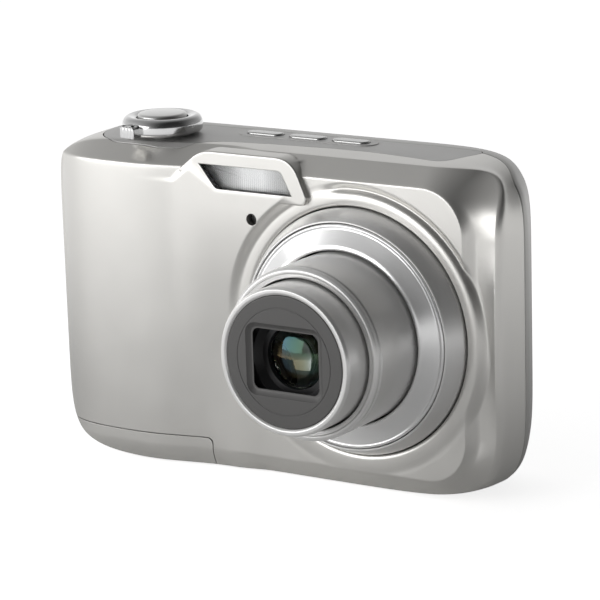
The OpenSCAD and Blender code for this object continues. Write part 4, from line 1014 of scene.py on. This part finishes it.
@dataclass
class Casing:
    """The moulded covers, the battery door, the connector cover and the bright strip.

    lamp and pad are x and z, dial and cells are x and y, hinge and strap are y and z. buttons is the x and
    the y of the middle one and the pitch, and screen is x, z, width and height.
    """

    form: BodyForm
    gap: float = 0.15
    door_h: float = 5.6
    door_x: float = -12.8
    door_rear: float = 9.2
    hinge: Pair = (9.8, 1.8)
    hinge_out: float = 1.85
    lamp: Pair = (-2.0, 47.1)
    lamp_r: float = 0.9
    trim_z: Pair = (8.5, 43.0)
    trim_depth: float = 4.6
    dial: Pair = DIAL_AXIS
    cells: Sequence[Pair] = ((-35.0, -1.2), (-20.4, -1.2))
    buttons: Triple = (1.0, 2.9, 9.0)
    screen: tuple[float, float, float, float] = (8.15, 29.5, 53.1, 42.0)
    pad: Pair = (-29.3, 25.0)
    rocker_z: float = 50.0
    bush_r: float = 4.65
    flange_r: float = 5.85
    speaker_x: float = 11.5
    strap: Pair = (2.8, 46.0)
    nose_r: Sequence[float] = (2.4, 4.5, 4.0, 5.0, 6.0, 9.0, 3.0, 2.0)

    def plan(self, grow: float, low: float, high: float) -> Skin:
        """Room of the top cover between two heights: a plan with a nose round the dial.

        Args:
            grow: how far the room is larger than what it holds.
            low: height of its lower end.
            high: height of its upper end.

        Returns:
            The room.
        """
        y, g = self.form.flat_y, grow
        corners = [(-40.5 - g, y + g), (-38.5 - g, -5 - g), (-34 - g, -9.2 - g), (-19.5, -9.2 - g)]
        corners += [(-13.5, -4 - g), (16, -2.2 - g), (33, -4.4 - g), (35.4 + g, y + g)]
        return prism(rounded(corners, self.nose_r, 10), [(low, 0), (high, 0)], Axis.UP)

    def door_room(self, grow: float) -> Skin:
        """Room of the door: a block with one rounded corner, seen from the front.

        Args:
            grow: how far the room is larger than what it holds.

        Returns:
            The room.
        """
        f, g = self.form, grow
        x0, x1, z1 = -f.half_w - 2, self.door_x + g, self.door_h + g
        corners = [(x0, -2), (x1, -2), (x1, z1), (x0, z1)]
        flat = rounded(corners, [0.01, 0.01, 1.3, 0.01], 8)
        return prism(flat, [(-(self.door_rear + g), 0), (17, 0)], Axis.LENS)

    def hinge_room(self, grow: float) -> Skin:
        """Round room about the door's hinge.

        Args:
            grow: how far the room is larger than what it holds.

        Returns:
            The room.
        """
        f = self.form
        x0, x1 = -f.half_w - 2, self.door_x + grow
        return rod(Axis.SIDE, (0, *self.hinge), self.hinge_out + grow, x0, x1)

    def trim_room(self, grow: float) -> Skin:
        """Crescent seen from the side: depth times one minus the height share to the power 2.5.

        Args:
            grow: how far the room is larger than what it holds.

        Returns:
            The room.
        """
        f = self.form
        t = np.linspace(-1, 1, 49)
        middle, half = sum(self.trim_z) / 2, (self.trim_z[1] - self.trim_z[0]) / 2 + grow
        front = -(self.trim_depth + grow) * (1 - np.abs(t) ** 2.5)
        flat = np.stack([f.seam_y + front, middle + half * t], 1)
        flat[[0, -1], 0] -= 0.05
        return prism(flat, [(-f.half_w - 1, 0), (-f.half_w + 2.7, 0)], Axis.SIDE)

    def flash_outline(self, grow: float) -> Array:
        """Outline of the flash window, leaning with its bezel.

        Args:
            grow: how far it is larger than the window.

        Returns:
            The outline, one row for each point.
        """
        h, g = self.form.body_h, grow
        corners = [(-13.4 - g, h - 2.8 + g), (4.4 + g * 0.6, h - 2.8 + g)]
        corners += [(6.9 + g * 1.4, h - 7.5 - g), (-9.5 - g * 0.6, h - 7.5 - g)]
        return rounded(corners, 0.9, 8)

    def brow(self) -> Skin:
        """Bezel round the flash window, with a round front edge.

        Returns:
            The bezel as a solid block. The window is cut from it later.
        """
        h = self.form.body_h
        corners = [(-17.6, h - 4.6), (-12.6, h - 0.6), (6.6, h - 0.6), (9.6, h - 7.6), (8.8, h - 8.8), (-10.8, h - 8.8)]
        flat = rounded(corners, [1.0, 2.4, 3.4, 1.2, 1.0, 1.0], 10)
        return prism(flat, edge(7.4, self.form.brow_depth, 0.3), Axis.LENS)

    def button_outline(self, k: int, grow: float) -> Array:
        """Outline of the opening of top button k."""
        x, y, pitch = self.buttons
        return strip(7.3 + 2 * grow, 2.6 + 2 * grow, (x + k * pitch, y))

    def cell_room(self) -> list[Skin]:
        """Round rooms of the two cells."""
        return [rod(Axis.UP, (x, y, 0), 7.4, 3.0, 56.2, 96) for x, y in self.cells]

    def base_rooms(self) -> list[Skin]:
        """Openings in the base: bush, speaker holes, screws and connector.

        Returns:
            One skin for each opening.
        """
        rooms = [rod(Axis.UP, (0, 0, 0), self.bush_r, -1, 5), rod(Axis.UP, (0, 0, 0), self.flange_r, 1.4, 5.4)]
        for t in np.radians(np.arange(0, 360, 60)):
            rooms.append(rod(Axis.UP, (self.speaker_x + 2 * math.cos(t), 2 * math.sin(t), 0), 0.5, -1, 3, 24))
        rooms.append(rod(Axis.UP, (self.speaker_x, 0, 0), 4.15, 1.4, 5.4))
        for x, y in ((-8.5, -4.5), (9.5, -5.5), (22.8, -1.5)):
            rooms.append(rod(Axis.UP, (x, y, 0), 1.65, -1, 0.9, 48))
        rooms.append(prism(round_rect(9.3, 6.3, 0.5, 48, (30, 0)), [(-1, 0), (4, 0)], Axis.UP))
        return rooms

    def front_cover(self) -> None:
        """The silver front cover: outer rings, a rounded lip at the seam, and an inner wall."""
        f = self.form
        rows = f.front_rings(True) + f.seam_lip(-1)
        end = f.outline(f.ridge_in + 0.8 * f.wall, f.ridge_top_in + 0.6 * f.wall, 0.3)
        start = f.about_lens(25.7 - 1.2 * f.wall)
        for s in (1, 0.93, 0.86, 0.77, 0.68, 0.57, 0.46, 0.34, 0.23, 0.11, 0):
            flat = mix(start, end, s)
            thicker = smooth((f.lens_z + 14 - flat[:, 1]) / -6) * smooth((flat[:, 0] + 20) / 4)
            rows.append(f.ring(flat, f.face(*flat.T) - f.wall - thicker))
        g = self.gap
        levels = [(5, 0), (f.brow_depth - 0.55, 0), (f.brow_depth + 0.05, 0.4), (14, 2.5)]
        window = prism(self.flash_outline(g), levels, Axis.LENS)
        lamp = rod(Axis.LENS, (self.lamp[0], 0, self.lamp[1]), self.lamp_r + g, 5, 15)
        tools = weld(self.brow()) + cut(self.top_room(), self.door_room(g), self.hinge_room(g), window)
        tools += cut(self.trim_room(g), lamp, *self.cell_room(), *self.base_rooms())
        piece("front_cover", "shell", loft(np.stack(rows), True), SILVER, tools=tools)

    def top_room(self) -> Skin:
        """Opening of the covers under the top cover, down to its skirt."""
        h = self.form.body_h
        return self.plan(self.gap, h - self.form.wall, h + 4)

    def rear_cover(self) -> None:
        """The grey rear cover with its openings for the screen and the buttons."""
        f = self.form
        outer = f.seam_lip(1)[::-1] + f.rear_rings()[3:]
        middle = outer[-1].mean(0)
        inner = f.rear_rings(f.wall)
        back = inner[-1].mean(0)
        rows = outer + [mix(middle, outer[-1], s) for s in (0.93, 0.5, 0.02)]
        rows += [mix(back, inner[-1], s) for s in (0.02, 0.5, 0.93)] + inner[:1:-1]
        g, y0, y1 = self.gap, f.rear_y - f.wall - 1, f.rear_y + 1
        x, z, w, h = self.screen
        holes = [round_rect(w + 2 * g, h + 2 * g, 1.5, 96, (x, z)), circle(8.65, 120, self.pad)]
        holes += [circle(2.65, 64, p) for p in self.rear_spots()] + [strip(15.6, 5.2, (self.pad[0], self.rocker_z))]
        tools = cut(self.top_room(), self.door_room(g), self.hinge_room(g))
        tools += cut(*(prism(hole, [(y0, 0), (y1, 0)], Axis.REAR) for hole in holes))
        y, z = self.strap
        strap = box((-f.half_w - 1, y - 2.55, z - 3.65), (-f.half_w + 6.2, y + 2.55, z + 3.65))
        tools += cut(*self.cell_room(), *self.base_rooms(), strap)
        piece("rear_cover", "shell", loft(np.stack(rows), True), GREY, tools=tools)

    def rear_spots(self) -> list[Pair]:
        """Centres of the four round buttons on the rear."""
        return [(self.pad[0] + s * 4.3, z) for z in (41.0, 12.4) for s in (1, -1)]

    def top_cover(self) -> None:
        """The grained top cover, with a raised land round its buttons."""
        f = self.form
        x, y, pitch = self.buttons
        land = prism(strip(pitch * 3 + 1.6, 4.8, (x, y)), edge(f.body_h - 1.2, f.body_h + 0.15, 0.12), Axis.UP)
        tools = keep(self.plan(0, f.half_h, f.half_h + 40)) + cut(f.inside(f.wall, f.wall)) + weld(land)
        tools += cut(rod(Axis.UP, (*self.dial, 0), 1.95, 40, 70))
        tools += cut(*(prism(self.button_outline(k, self.gap), [(40, 0), (70, 0)], Axis.UP) for k in (-1, 0, 1)))
        piece("top_cover", "shell", f.whole(), TOP_GREY, tools=tools)

    def grip_trim(self) -> None:
        """Bright strip on the end of the grip, a slice of the form."""
        inner = self.form.inside(self.form.wall + 0.4, self.form.wall + 0.4)
        tools = keep(self.trim_room(-0.1)) + cut(inner)
        piece("grip_trim", "strip", self.form.whole(), CHROME, tools=tools)

    def battery_door(self) -> None:
        """Door over the cells: the lower end of the grip, hollow, with two knuckles."""
        f, axle = self.form, (0, *self.hinge)
        hollow = f.inside(f.wall + 1.2, f.wall + 0.1, -f.grip_depth + 3.9, self.door_rear - 1.4)
        tools = keep(self.door_room(0)) + cut(hollow)
        tools += weld(*(rod(Axis.SIDE, axle, 1.0, a, b) for a, b in ((-30, -26.6), (-21.8, -18))))
        tools += cut(*self.cell_room(), *(rod(Axis.UP, (*c, 0), 2.15, 2.3, 8) for c in self.cells))
        tools += cut(*(rod(Axis.SIDE, axle, 2.0, a - 0.3, b + 2.3) for a, b in ((-26.2, -24.2), (-17.6, -14))))
        tools += cut(rod(Axis.SIDE, axle, 0.6, -50, 0))
        piece("battery_door", "shell", f.whole(), SILVER, "battery_door", tools)

    def connector_cover(self) -> None:
        """Small flap over the connector in the base."""
        flap = prism(round_rect(8.0, 6.0, 0.4, 64, (30.5, 0)), edge(0.0, 1.35, 0.1, 0.2), Axis.UP)
        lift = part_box("usb_cover")[0][2] / MM
        flap.points[:, 2] += max(0.0, lift)
        pins = [rod(Axis.REAR, (26.5, 0, 0.85), r, -half, half, n) for r, half, n in ((0.75, 3, 48), (0.4, 3.8, 32))]
        piece("usb_cover", "flap", flap, BLACK, "usb_cover", weld(*pins))

    def lamp_window(self) -> None:
        """Dark round window of the lamp, slightly domed."""
        x, z = self.lamp
        top = self.form.front(np.array([x]), np.array([z]))[0]
        lid = min(float(top), -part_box("lamp_window")[0][1] / MM) - 0.12
        profile = [(self.lamp_r, 7.8), (self.lamp_r, lid - 0.15), (0.8, lid), (0.5, lid + 0.06), (0.1, lid + 0.08)]
        piece("lamp_window", "disc", spin(np.array(profile), Axis.LENS, (x, 0, z), 48, False), LAMP_WINDOW)

    def make(self) -> None:
        """Builds every piece of the casing."""
        self.front_cover()
        self.rear_cover()
        self.top_cover()
        self.grip_trim()
        self.battery_door()
        self.connector_cover()
        self.lamp_window()


@dataclass
class Flash:
    """Clear window of the flash over its ribbed reflector, whose bright and dark tones are painted light and shade."""

    casing: Casing
    front: float = 10.8

    def make(self) -> None:
        """Builds the window and the reflector close behind it."""
        pane = prism(self.casing.flash_outline(0), edge(self.front - 1.2, self.front, 0.18), Axis.LENS)
        piece("flash_window", "pane", pane, FLASH_CLEAR)
        # The reflector's colour carries painted light and shade along the body
        panel = prism(self.casing.flash_outline(-0.1), edge(6.3, self.front - 1.32, 0.1), Axis.LENS)
        piece("flash_reflector", "panel", panel, REFLECTOR_WITH_PAINTED_LIGHT)


@dataclass
class LensAssembly:
    """Trim ring, polished dish, two telescoping barrels, front plate and front element.

    Radii are about the lens axis and depths in front of the origin.
    """

    form: BodyForm
    ring_r: float = 21.9
    ring_depth: float = 14.2
    dish_r: float = 19.8
    dish_depth: float = 15.6
    seat: float = 9.4
    cam_in: float = 15.45
    barrel_r: float = 15.1
    barrel_depth: float = 27.8
    small_r: float = 12.9
    small_depth: float = 33.3
    wall: float = 1.2
    barrel_back: float = 6.0
    small_back: float = 20.0
    window: Pair = (14.96, 12.42)

    @property
    def origin(self) -> Triple:
        """Point on the lens axis."""
        return self.form.lens_x, 0.0, self.form.lens_z

    def turned(
        self, node: str, corners: Sequence[Pair], r: float | Sequence[float], finish: Looks, body: str = "root"
    ) -> None:
        """Piece turned about the lens axis from a rounded loop of radius and depth.

        Args:
            node: the solid that it stands for.
            corners: corners of the profile, radius and depth.
            r: rounding of the corners.
            finish: its finish.
            body: the body that it rides on.
        """
        skin = spin(rounded(corners, r, 6), Axis.LENS, self.origin, 256)
        piece(node, "turned", skin, finish, body, crease=50.0)

    def rings(self) -> None:
        """The trim ring and the dish, both fixed to the body."""
        d, s = self.ring_depth, self.seat
        ring = [(self.dish_r + 0.15, s), (self.ring_r, s), (self.ring_r, d - 3.5), (self.ring_r - 1.55, d - 0.12)]
        ring += [(self.ring_r - 1.85, d), (self.dish_r + 0.15, d - 0.35)]
        self.turned("lens_trim_ring", ring, [0.05, 0.05, 0.25, 0.3, 0.12, 0.1], SATIN)
        d = self.dish_depth
        dish = [(self.cam_in, d - 3.5), (self.dish_r, d - 3.5), (self.dish_r, d - 1.6), (self.dish_r - 0.3, d - 1.38)]
        dish += [(self.dish_r - 0.75, d - 1.5), (self.cam_in + 0.8, d - 0.12)]
        dish += [(self.cam_in + 0.3, d), (self.cam_in, d - 0.25)]
        self.turned("lens_trim_dish", dish, [0.05, 0.05, 0.15, 0.2, 0.3, 0.5, 0.15, 0.1], DISH)

    def barrels(self) -> None:
        """The two sliding barrels with turned grooves and bright front edges."""
        b, d, r = self.barrel_back, self.barrel_depth, self.barrel_r
        inner, lip = r - self.wall, self.small_r + 0.35
        outer = [(inner, b), (r, b), (r, d - 1.6), (r - 0.22, d - 1.4), (r - 0.22, d - 1.15), (r, d - 0.95)]
        outer += [(r - 0.05, d - 0.35), (r - 0.5, d), (r - 0.95, d), (r - 1.1, d - 0.25), (lip + 0.3, d - 0.25)]
        outer += [(lip, d - 0.35), (lip, d - 1.4), (inner, d - 1.4)]
        self.turned("barrel_outer", outer, 0.16, SATIN, "barrel_outer")
        b, d, r = self.small_back, self.small_depth, self.small_r
        inside = r - self.wall
        plate = inside - 0.15
        small = [(inside, b), (r, b), (r, d - 0.55), (r - 0.35, d), (plate + 0.35, d)]
        small += [(plate, d - 0.3), (plate, d - 1), (inside, d - 1)]
        rounding = [0.05, 0.1, 0.2, 0.15, 0.15, 0.1, 0.02, 0.02]
        self.turned("barrel_inner", small, rounding, SATIN, "barrel_inner")

    def plate(self) -> None:
        """Front plate: a dark turned disc with a bevelled frame round a rectangular window."""
        d, w, h = self.small_depth, *self.window
        r = self.small_r - self.wall - 0.2
        disc = prism(circle(r, 192), edge(d - 1.0, d - 0.2, 0.15), Axis.LENS, self.origin)
        hole = prism(round_rect(w - 1.9, h - 1.9, 1.2), [(d - 2, 0), (d + 1, 0)], Axis.LENS, self.origin)
        levels = [(d - 0.82, 0.7), (d - 0.8, 0.6), (d - 0.19, -0.15), (d + 0.5, -0.6)]
        groove = rounded([(r - 2.35, d - 0.26), (r - 2.1, d - 0.26), (r - 2.1, d), (r - 2.35, d)], 0.02)
        sink = prism(round_rect(w, h, 1.9), levels, Axis.LENS, self.origin)
        tools = cut(hole, sink, spin(groove, Axis.LENS, self.origin))
        piece("front_plate", "disc", disc, DARK_METAL, "barrel_inner", tools)

    def glass(self) -> None:
        """Front element: a dome over a flat back, of a circle's height above its chord."""
        r, d, ball = self.small_r * 0.43, self.small_depth - 1.8, 9.0
        a = np.linspace(math.asin(r / ball), 0.01, 24)
        dome = np.stack([ball * np.sin(a), d - 1 - ball + ball * np.cos(a)], 1)
        profile = np.vstack([[(0.1, d - 5), (r - 0.1, d - 5), (r, d - 4.9)], dome])
        skin = spin(profile, Axis.LENS, self.origin, 128, False)
        piece("front_lens", "element", skin, LENS_CLEAR, "barrel_inner", crease=60.0)

    def make(self) -> None:
        """Builds every visible piece of the lens."""
        self.rings()
        self.barrels()
        self.plate()
        self.glass()


@dataclass
class TopControls:
    """Mode dial with its pointer, shutter button in its middle, and three oblong buttons."""

    casing: Casing
    dial_r: float = 7.25
    dial_h: float = 3.2
    shutter_r: float = 4.45
    tab_angle: float = -100.0

    def dial(self) -> None:
        """Chrome dial: a turned rim, and a pointer with ribs cut in its end."""
        top, r, s = self.casing.form.body_h, self.dial_r, self.shutter_r + 0.2
        z, h = top + 0.3, self.dial_h
        corners = [(1.1, top - 2.5), (2.7, top - 2.5), (2.7, top - 2.1), (1.9, top - 2.1), (1.9, z), (r - 0.6, z)]
        corners += [(r, z + 0.5), (r, z + h - 1.1), (r - 0.45, z + h - 0.3), (r - 1.1, z + h), (s + 0.5, z + h - 0.2)]
        corners += [(s, z + h - 0.45), (s, z + 0.9), (1.1, z + 0.9)]
        rounding = [0.02, 0.02, 0.02, 0.02, 0.02, 0.3, 0.3, 0.4, 0.35, 0.3, 0.25, 0.15, 0.1, 0.1]
        origin = (*self.casing.dial, 0.0)
        rim = spin(rounded(corners, rounding, 6), Axis.UP, origin, 192)
        tab = rounded([(r - 1.2, -1.2), (r + 1.85, -1.8), (r + 1.85, 1.8), (r - 1.2, 1.2)], 0.4, 6)
        a = math.radians(self.tab_angle)
        turn = np.array([[math.cos(a), math.sin(a)], [-math.sin(a), math.cos(a)]])
        tools = weld(prism(tab @ turn, edge(z + 0.1, z + h - 0.9, 0.5, 0.1), Axis.UP, origin))
        for k in (-1.2, -0.4, 0.4, 1.2):
            x, y = np.array(self.casing.dial) + np.array([r + 1.9, k]) @ turn
            tools += cut(rod(Axis.UP, (x, y, 0), 0.24, z - 1, z + h + 1, 24))
        piece("mode_dial", "rim", rim, DIAL_SIDE, "mode_dial", tools)

    def shutter(self) -> None:
        """Satin shutter button, slightly domed."""
        top, r = self.casing.form.body_h, self.shutter_r
        z = top + 0.3 + self.dial_h
        corners = [(0.05, top - 1.5), (1.05, top - 1.5), (1.05, z - 0.9), (r - 0.1, z - 0.9)]
        corners += [(r, z - 0.8), (r, z - 0.05), (r - 0.35, z + 0.28), (r * 0.6, z + 0.48), (0.05, z + 0.58)]
        profile = rounded(corners, [0, 0.02, 0.1, 0.1, 0.05, 0.2, 0.3, 1.5, 0], 6, False)
        skin = spin(profile, Axis.UP, (*self.casing.dial, 0.0), 128, False)
        piece("shutter_button", "cap", skin, BUTTON_CAP, "shutter_button")

    def oblong(self, name: str, k: int) -> None:
        """Oblong button with a round edge and a flange under the plate.

        Args:
            name: its name, which is its body's as well.
            k: its place in the row: -1, 0 or 1.
        """
        h = self.casing.form.body_h
        levels = [(h - 2.0, -0.4), (h - 1.56, -0.4), (h - 1.55, 0.0)] + edge(h - 1.5, h + 0.48, 0.28)
        piece(name, "cap", prism(self.casing.button_outline(k, 0), levels, Axis.UP), PLATED, name)

    def make(self) -> None:
        """Builds the controls on the top."""
        self.dial()
        self.shutter()
        for k, name in zip((-1, 0, 1), ("flash_button", "timer_button", "power_button")):
            self.oblong(name, k)


@dataclass
class RearPanel:
    """Screen window, zoom rocker, four round buttons, four-way ring and its middle button."""

    casing: Casing
    rise: float = 0.5
    pivot_r: float = 0.35

    @property
    def pivot_y(self) -> float:
        """Depth of the pivots of the rocker and the ring."""
        return self.casing.form.rear_y - self.casing.form.wall - 0.42

    def key(self, name: str, outline: Array, high: float, dish: float = 0.0, tools: Sequence[Tool] = ()) -> None:
        """Button carried to the rear, with a round edge and a face sunk by dish in its middle.

        Args:
            name: its name, which is its body's as well.
            outline: its drawing.
            high: how far it stands out.
            dish: depth of the middle.
            tools: rows for carve.
        """
        f = self.casing.form
        levels = edge(f.rear_y - f.wall - 0.25, f.rear_y + high, 0.25)
        levels += [(levels[-1][0] - dish * t * t, 0.5 + 1.6 * t) for t in (0.5, 1.0)] if dish else []
        piece(name, "cap", prism(outline, levels, Axis.REAR), PLATED, name, tools)

    def ring(self) -> None:
        """Four-way ring with a turned groove, a hole for the middle button, two pivots and four marks."""
        (x, z), y = self.casing.pad, self.casing.form.rear_y
        groove = [(6.9, y + 2), (6.9, y + 0.36), (5.2, y + 0.3), (4.6, y + 0.42), (4.6, y + 2)]
        sink = spin(rounded(groove, 0.2, 5), Axis.REAR, (x, 0, z), 160)
        tools = cut(sink, prism(circle(3.85, 96, (x, z)), [(y - 4, 0), (y + 2, 0)], Axis.REAR))
        for u in (x - 8.0, x + 8.0):
            tools += weld(rod(Axis.SIDE, (0, self.pivot_y, z), self.pivot_r, u - 1.2, u + 1.2, 32))
        for a in np.arange(4) * math.pi / 2:
            mark = circle(0.42, 24, (x + 5.9 * math.cos(a), z + 5.9 * math.sin(a)))
            tools += weld(prism(mark, edge(y, y + 0.45, 0.1), Axis.REAR))
        self.key("four_way_ring", circle(8.35, 160, (x, z)), self.rise, tools=tools)

    def make(self) -> None:
        """Builds the pieces on the rear."""
        c, f = self.casing, self.casing.form
        x, z, w, h = c.screen
        pane = prism(round_rect(w, h, 1.4, 96, (x, z)), edge(f.rear_y - f.wall - 0.2, f.rear_y - 0.1, 0.2), Axis.REAR)
        piece("screen_window", "pane", pane, SCREEN)
        x, z = c.pad[0], c.rocker_z
        stub = rod(Axis.UP, (x, self.pivot_y, 0), self.pivot_r, z - 2.9, z + 2.9, 32)
        self.key("zoom_rocker", strip(15.0, 4.6, (x, z)), self.rise, 0.25, weld(stub))
        for name, spot in zip(("delete_button", "review_button", "info_button", "menu_button"), c.rear_spots()):
            flange = prism(circle(2.75, 64, spot), [(f.rear_y - 1.65, 0), (f.rear_y - 1.45, 0)], Axis.REAR)
            self.key(name, circle(2.5, 64, spot), self.rise, 0.12, weld(flange))
        self.ring()
        self.key("ok_button", circle(3.5, 96, c.pad), self.rise + 0.2, 0.15)


@dataclass
class Internals:
    """Solids that keep their own shape and get only a finish."""

    def make(self) -> None:
        """Dresses each solid that is carried over."""
        table = {
            BLACK: "lens_base battery_holder lens_cell speaker cam_ring blade_upper_lead blade_upper_trail "
            "blade_lower_lead blade_lower_trail screen_frame",
            SCREEN: "screen_panel image_sensor memory_card flash_capacitor",
            STEEL: "battery_contacts card_slot tripod_bush usb_socket zoom_motor base_screws door_contact "
            "door_slide_pin strap_post",
            BRASS: "motor_pinion",
            WHITE_PART: "drive_gear",
            BOARD: "main_board sensor_board top_board key_board",
            CELL: "battery_1 battery_2",
            LENS_CLEAR: "flash_tube",
        }
        for finish, names in table.items():
            for name in names.split():
                dress(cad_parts[name], finish)
                LOG.info("%s keeps its solid", name)


@dataclass
class Studio:
    """Camera, floor, one soft lamp and a pale surround. The lamp's places and sides are metres, its power watts."""

    yaw: float = 33.31
    pitch: float = 13.87
    roll: float = -1.81
    target: Triple = (0.09, 0.0, 30.31)
    distance: float = 561.56
    lens: float = 188.87
    lamp_place: Triple = (-0.5, -0.72, 0.2)
    lamp_aim: Triple = (0.0, 0.0, 0.03)
    lamp_size: Pair = (0.9, 0.45)
    lamp_power: float = 3.4

    def camera(self) -> None:
        """Camera whose axes come from the yaw, pitch and roll: back, right and up unit vectors."""
        a, e, r = (math.radians(v) for v in (self.yaw, self.pitch, self.roll))
        back = Vector((math.sin(a) * math.cos(e), -math.cos(a) * math.cos(e), math.sin(e)))
        right = Vector((math.cos(a), math.sin(a), 0))
        up = back.cross(right)
        x = right * math.cos(r) + up * math.sin(r)
        y = up * math.cos(r) - right * math.sin(r)
        data = bpy.data.cameras.new("view")
        data.lens, data.sensor_width, data.clip_start, data.clip_end = self.lens, 36.0, 0.01, 20.0
        obj = bpy.data.objects.new("view", data)
        place = (Vector(self.target) + back * self.distance) * MM
        obj.matrix_world = Matrix.Translation(place) @ Matrix((x, y, back)).transposed().to_4x4()
        bpy.context.scene.collection.objects.link(obj)
        bpy.context.scene.camera = obj

    def lamp(self) -> None:
        """One soft rectangular lamp, to the left and in front of the object."""
        data = bpy.data.lights.new("key", "AREA")
        data.shape, data.energy = "RECTANGLE", self.lamp_power
        data.size, data.size_y = self.lamp_size
        obj = bpy.data.objects.new("key", data)
        obj.location = self.lamp_place
        aim = Vector(self.lamp_aim) - Vector(self.lamp_place)
        obj.rotation_euler = aim.to_track_quat("-Z", "Y").to_euler()
        bpy.context.scene.collection.objects.link(obj)

    def floor(self) -> None:
        """Pale floor that the view sees white except in the object's shadow. For glossy and transmission rays its glow
        is weaker near the object, a painted shade.
        """
        half = 3000.0
        obj = build("floor", box((-half, -half, -20.0), (half, half, -0.02)))
        n = Nodes("floor_card")
        place = n.add("TexCoord").outputs["Object"]
        tone = n.span(n.noise(place, 0.002, 1.0), 0.86, 0.88)
        shade = n.add("BsdfDiffuse", Color=n.add("CombineColor", Red=tone, Green=tone, Blue=tone).outputs[0])
        path = n.add("LightPath")
        ray = path.outputs["Is Camera Ray"]
        gloss = n.math("ADD", path.outputs["Is Glossy Ray"], path.outputs["Is Transmission Ray"])
        # Painted shade under the object: the glow seen by glossy and transmission rays is 0.05 within 0.05 m of the
        # middle and rises to 0.75 at 0.3 m
        far = n.carry(n.add("VectorMath", {"operation": "LENGTH"}, i0=place).outputs["Value"], 0.05, 0.3, 0.05, 0.75)
        lift = n.math("ADD", n.math("MULTIPLY", ray, 0.78), n.math("MULTIPLY", gloss, far))
        glow = n.add("Emission", Strength=lift)
        obj.data.materials.append(n.close(n.add("AddShader", i0=shade.outputs[0], i1=glow.outputs[0])))

    def surround(self) -> None:
        """World: brighter to the left and behind, darker to the right and overhead, white to the view.

        Strength = (0.07 + 0.95 smooth((0.5 - x) / 1.3) + 0.4 smooth(y / 0.9)) times
        (1 - 0.44 smooth(z / 0.8)), for the direction x, y, z.
        """
        world = bpy.data.worlds.new("surround")
        bpy.context.scene.world = world
        world.use_nodes = True
        n = Nodes.of_tree(world.node_tree, "ShaderNodeOutputWorld")
        x, y, z = n.add("SeparateXYZ", Vector=n.add("TexCoord").outputs["Generated"]).outputs[:3]
        left = n.carry(x, 0.5, -0.8, 0.07, 1.02)
        behind = n.carry(y, 0.0, 0.9, 0.0, 0.4)
        above = n.carry(z, 0.0, 0.8, 1.0, 0.56)
        tone = n.math("MULTIPLY", n.math("ADD", left, behind), above)
        ray = n.add("LightPath").outputs["Is Camera Ray"]
        n.close(n.add("Background", Strength=n.math("MAXIMUM", tone, ray)))

    def make(self) -> None:
        """Sets up the camera, the lamp, the floor and the surround."""
        self.camera()
        self.lamp()
        self.floor()
        self.surround()
        settings = bpy.context.scene.view_settings
        settings.view_transform = "Standard"


def main() -> None:
    """Builds the sub-assemblies in order."""
    logging.basicConfig(level=logging.INFO, format="%(name)s: %(message)s")
    form = BodyForm()
    casing = Casing(form)
    parts = [casing, Flash(casing), LensAssembly(form), TopControls(casing), RearPanel(casing)]
    for part in parts + [Internals(), Studio()]:
        part.make()
        LOG.info("%s done", type(part).__name__)


if __name__ == "__main__":
    main()
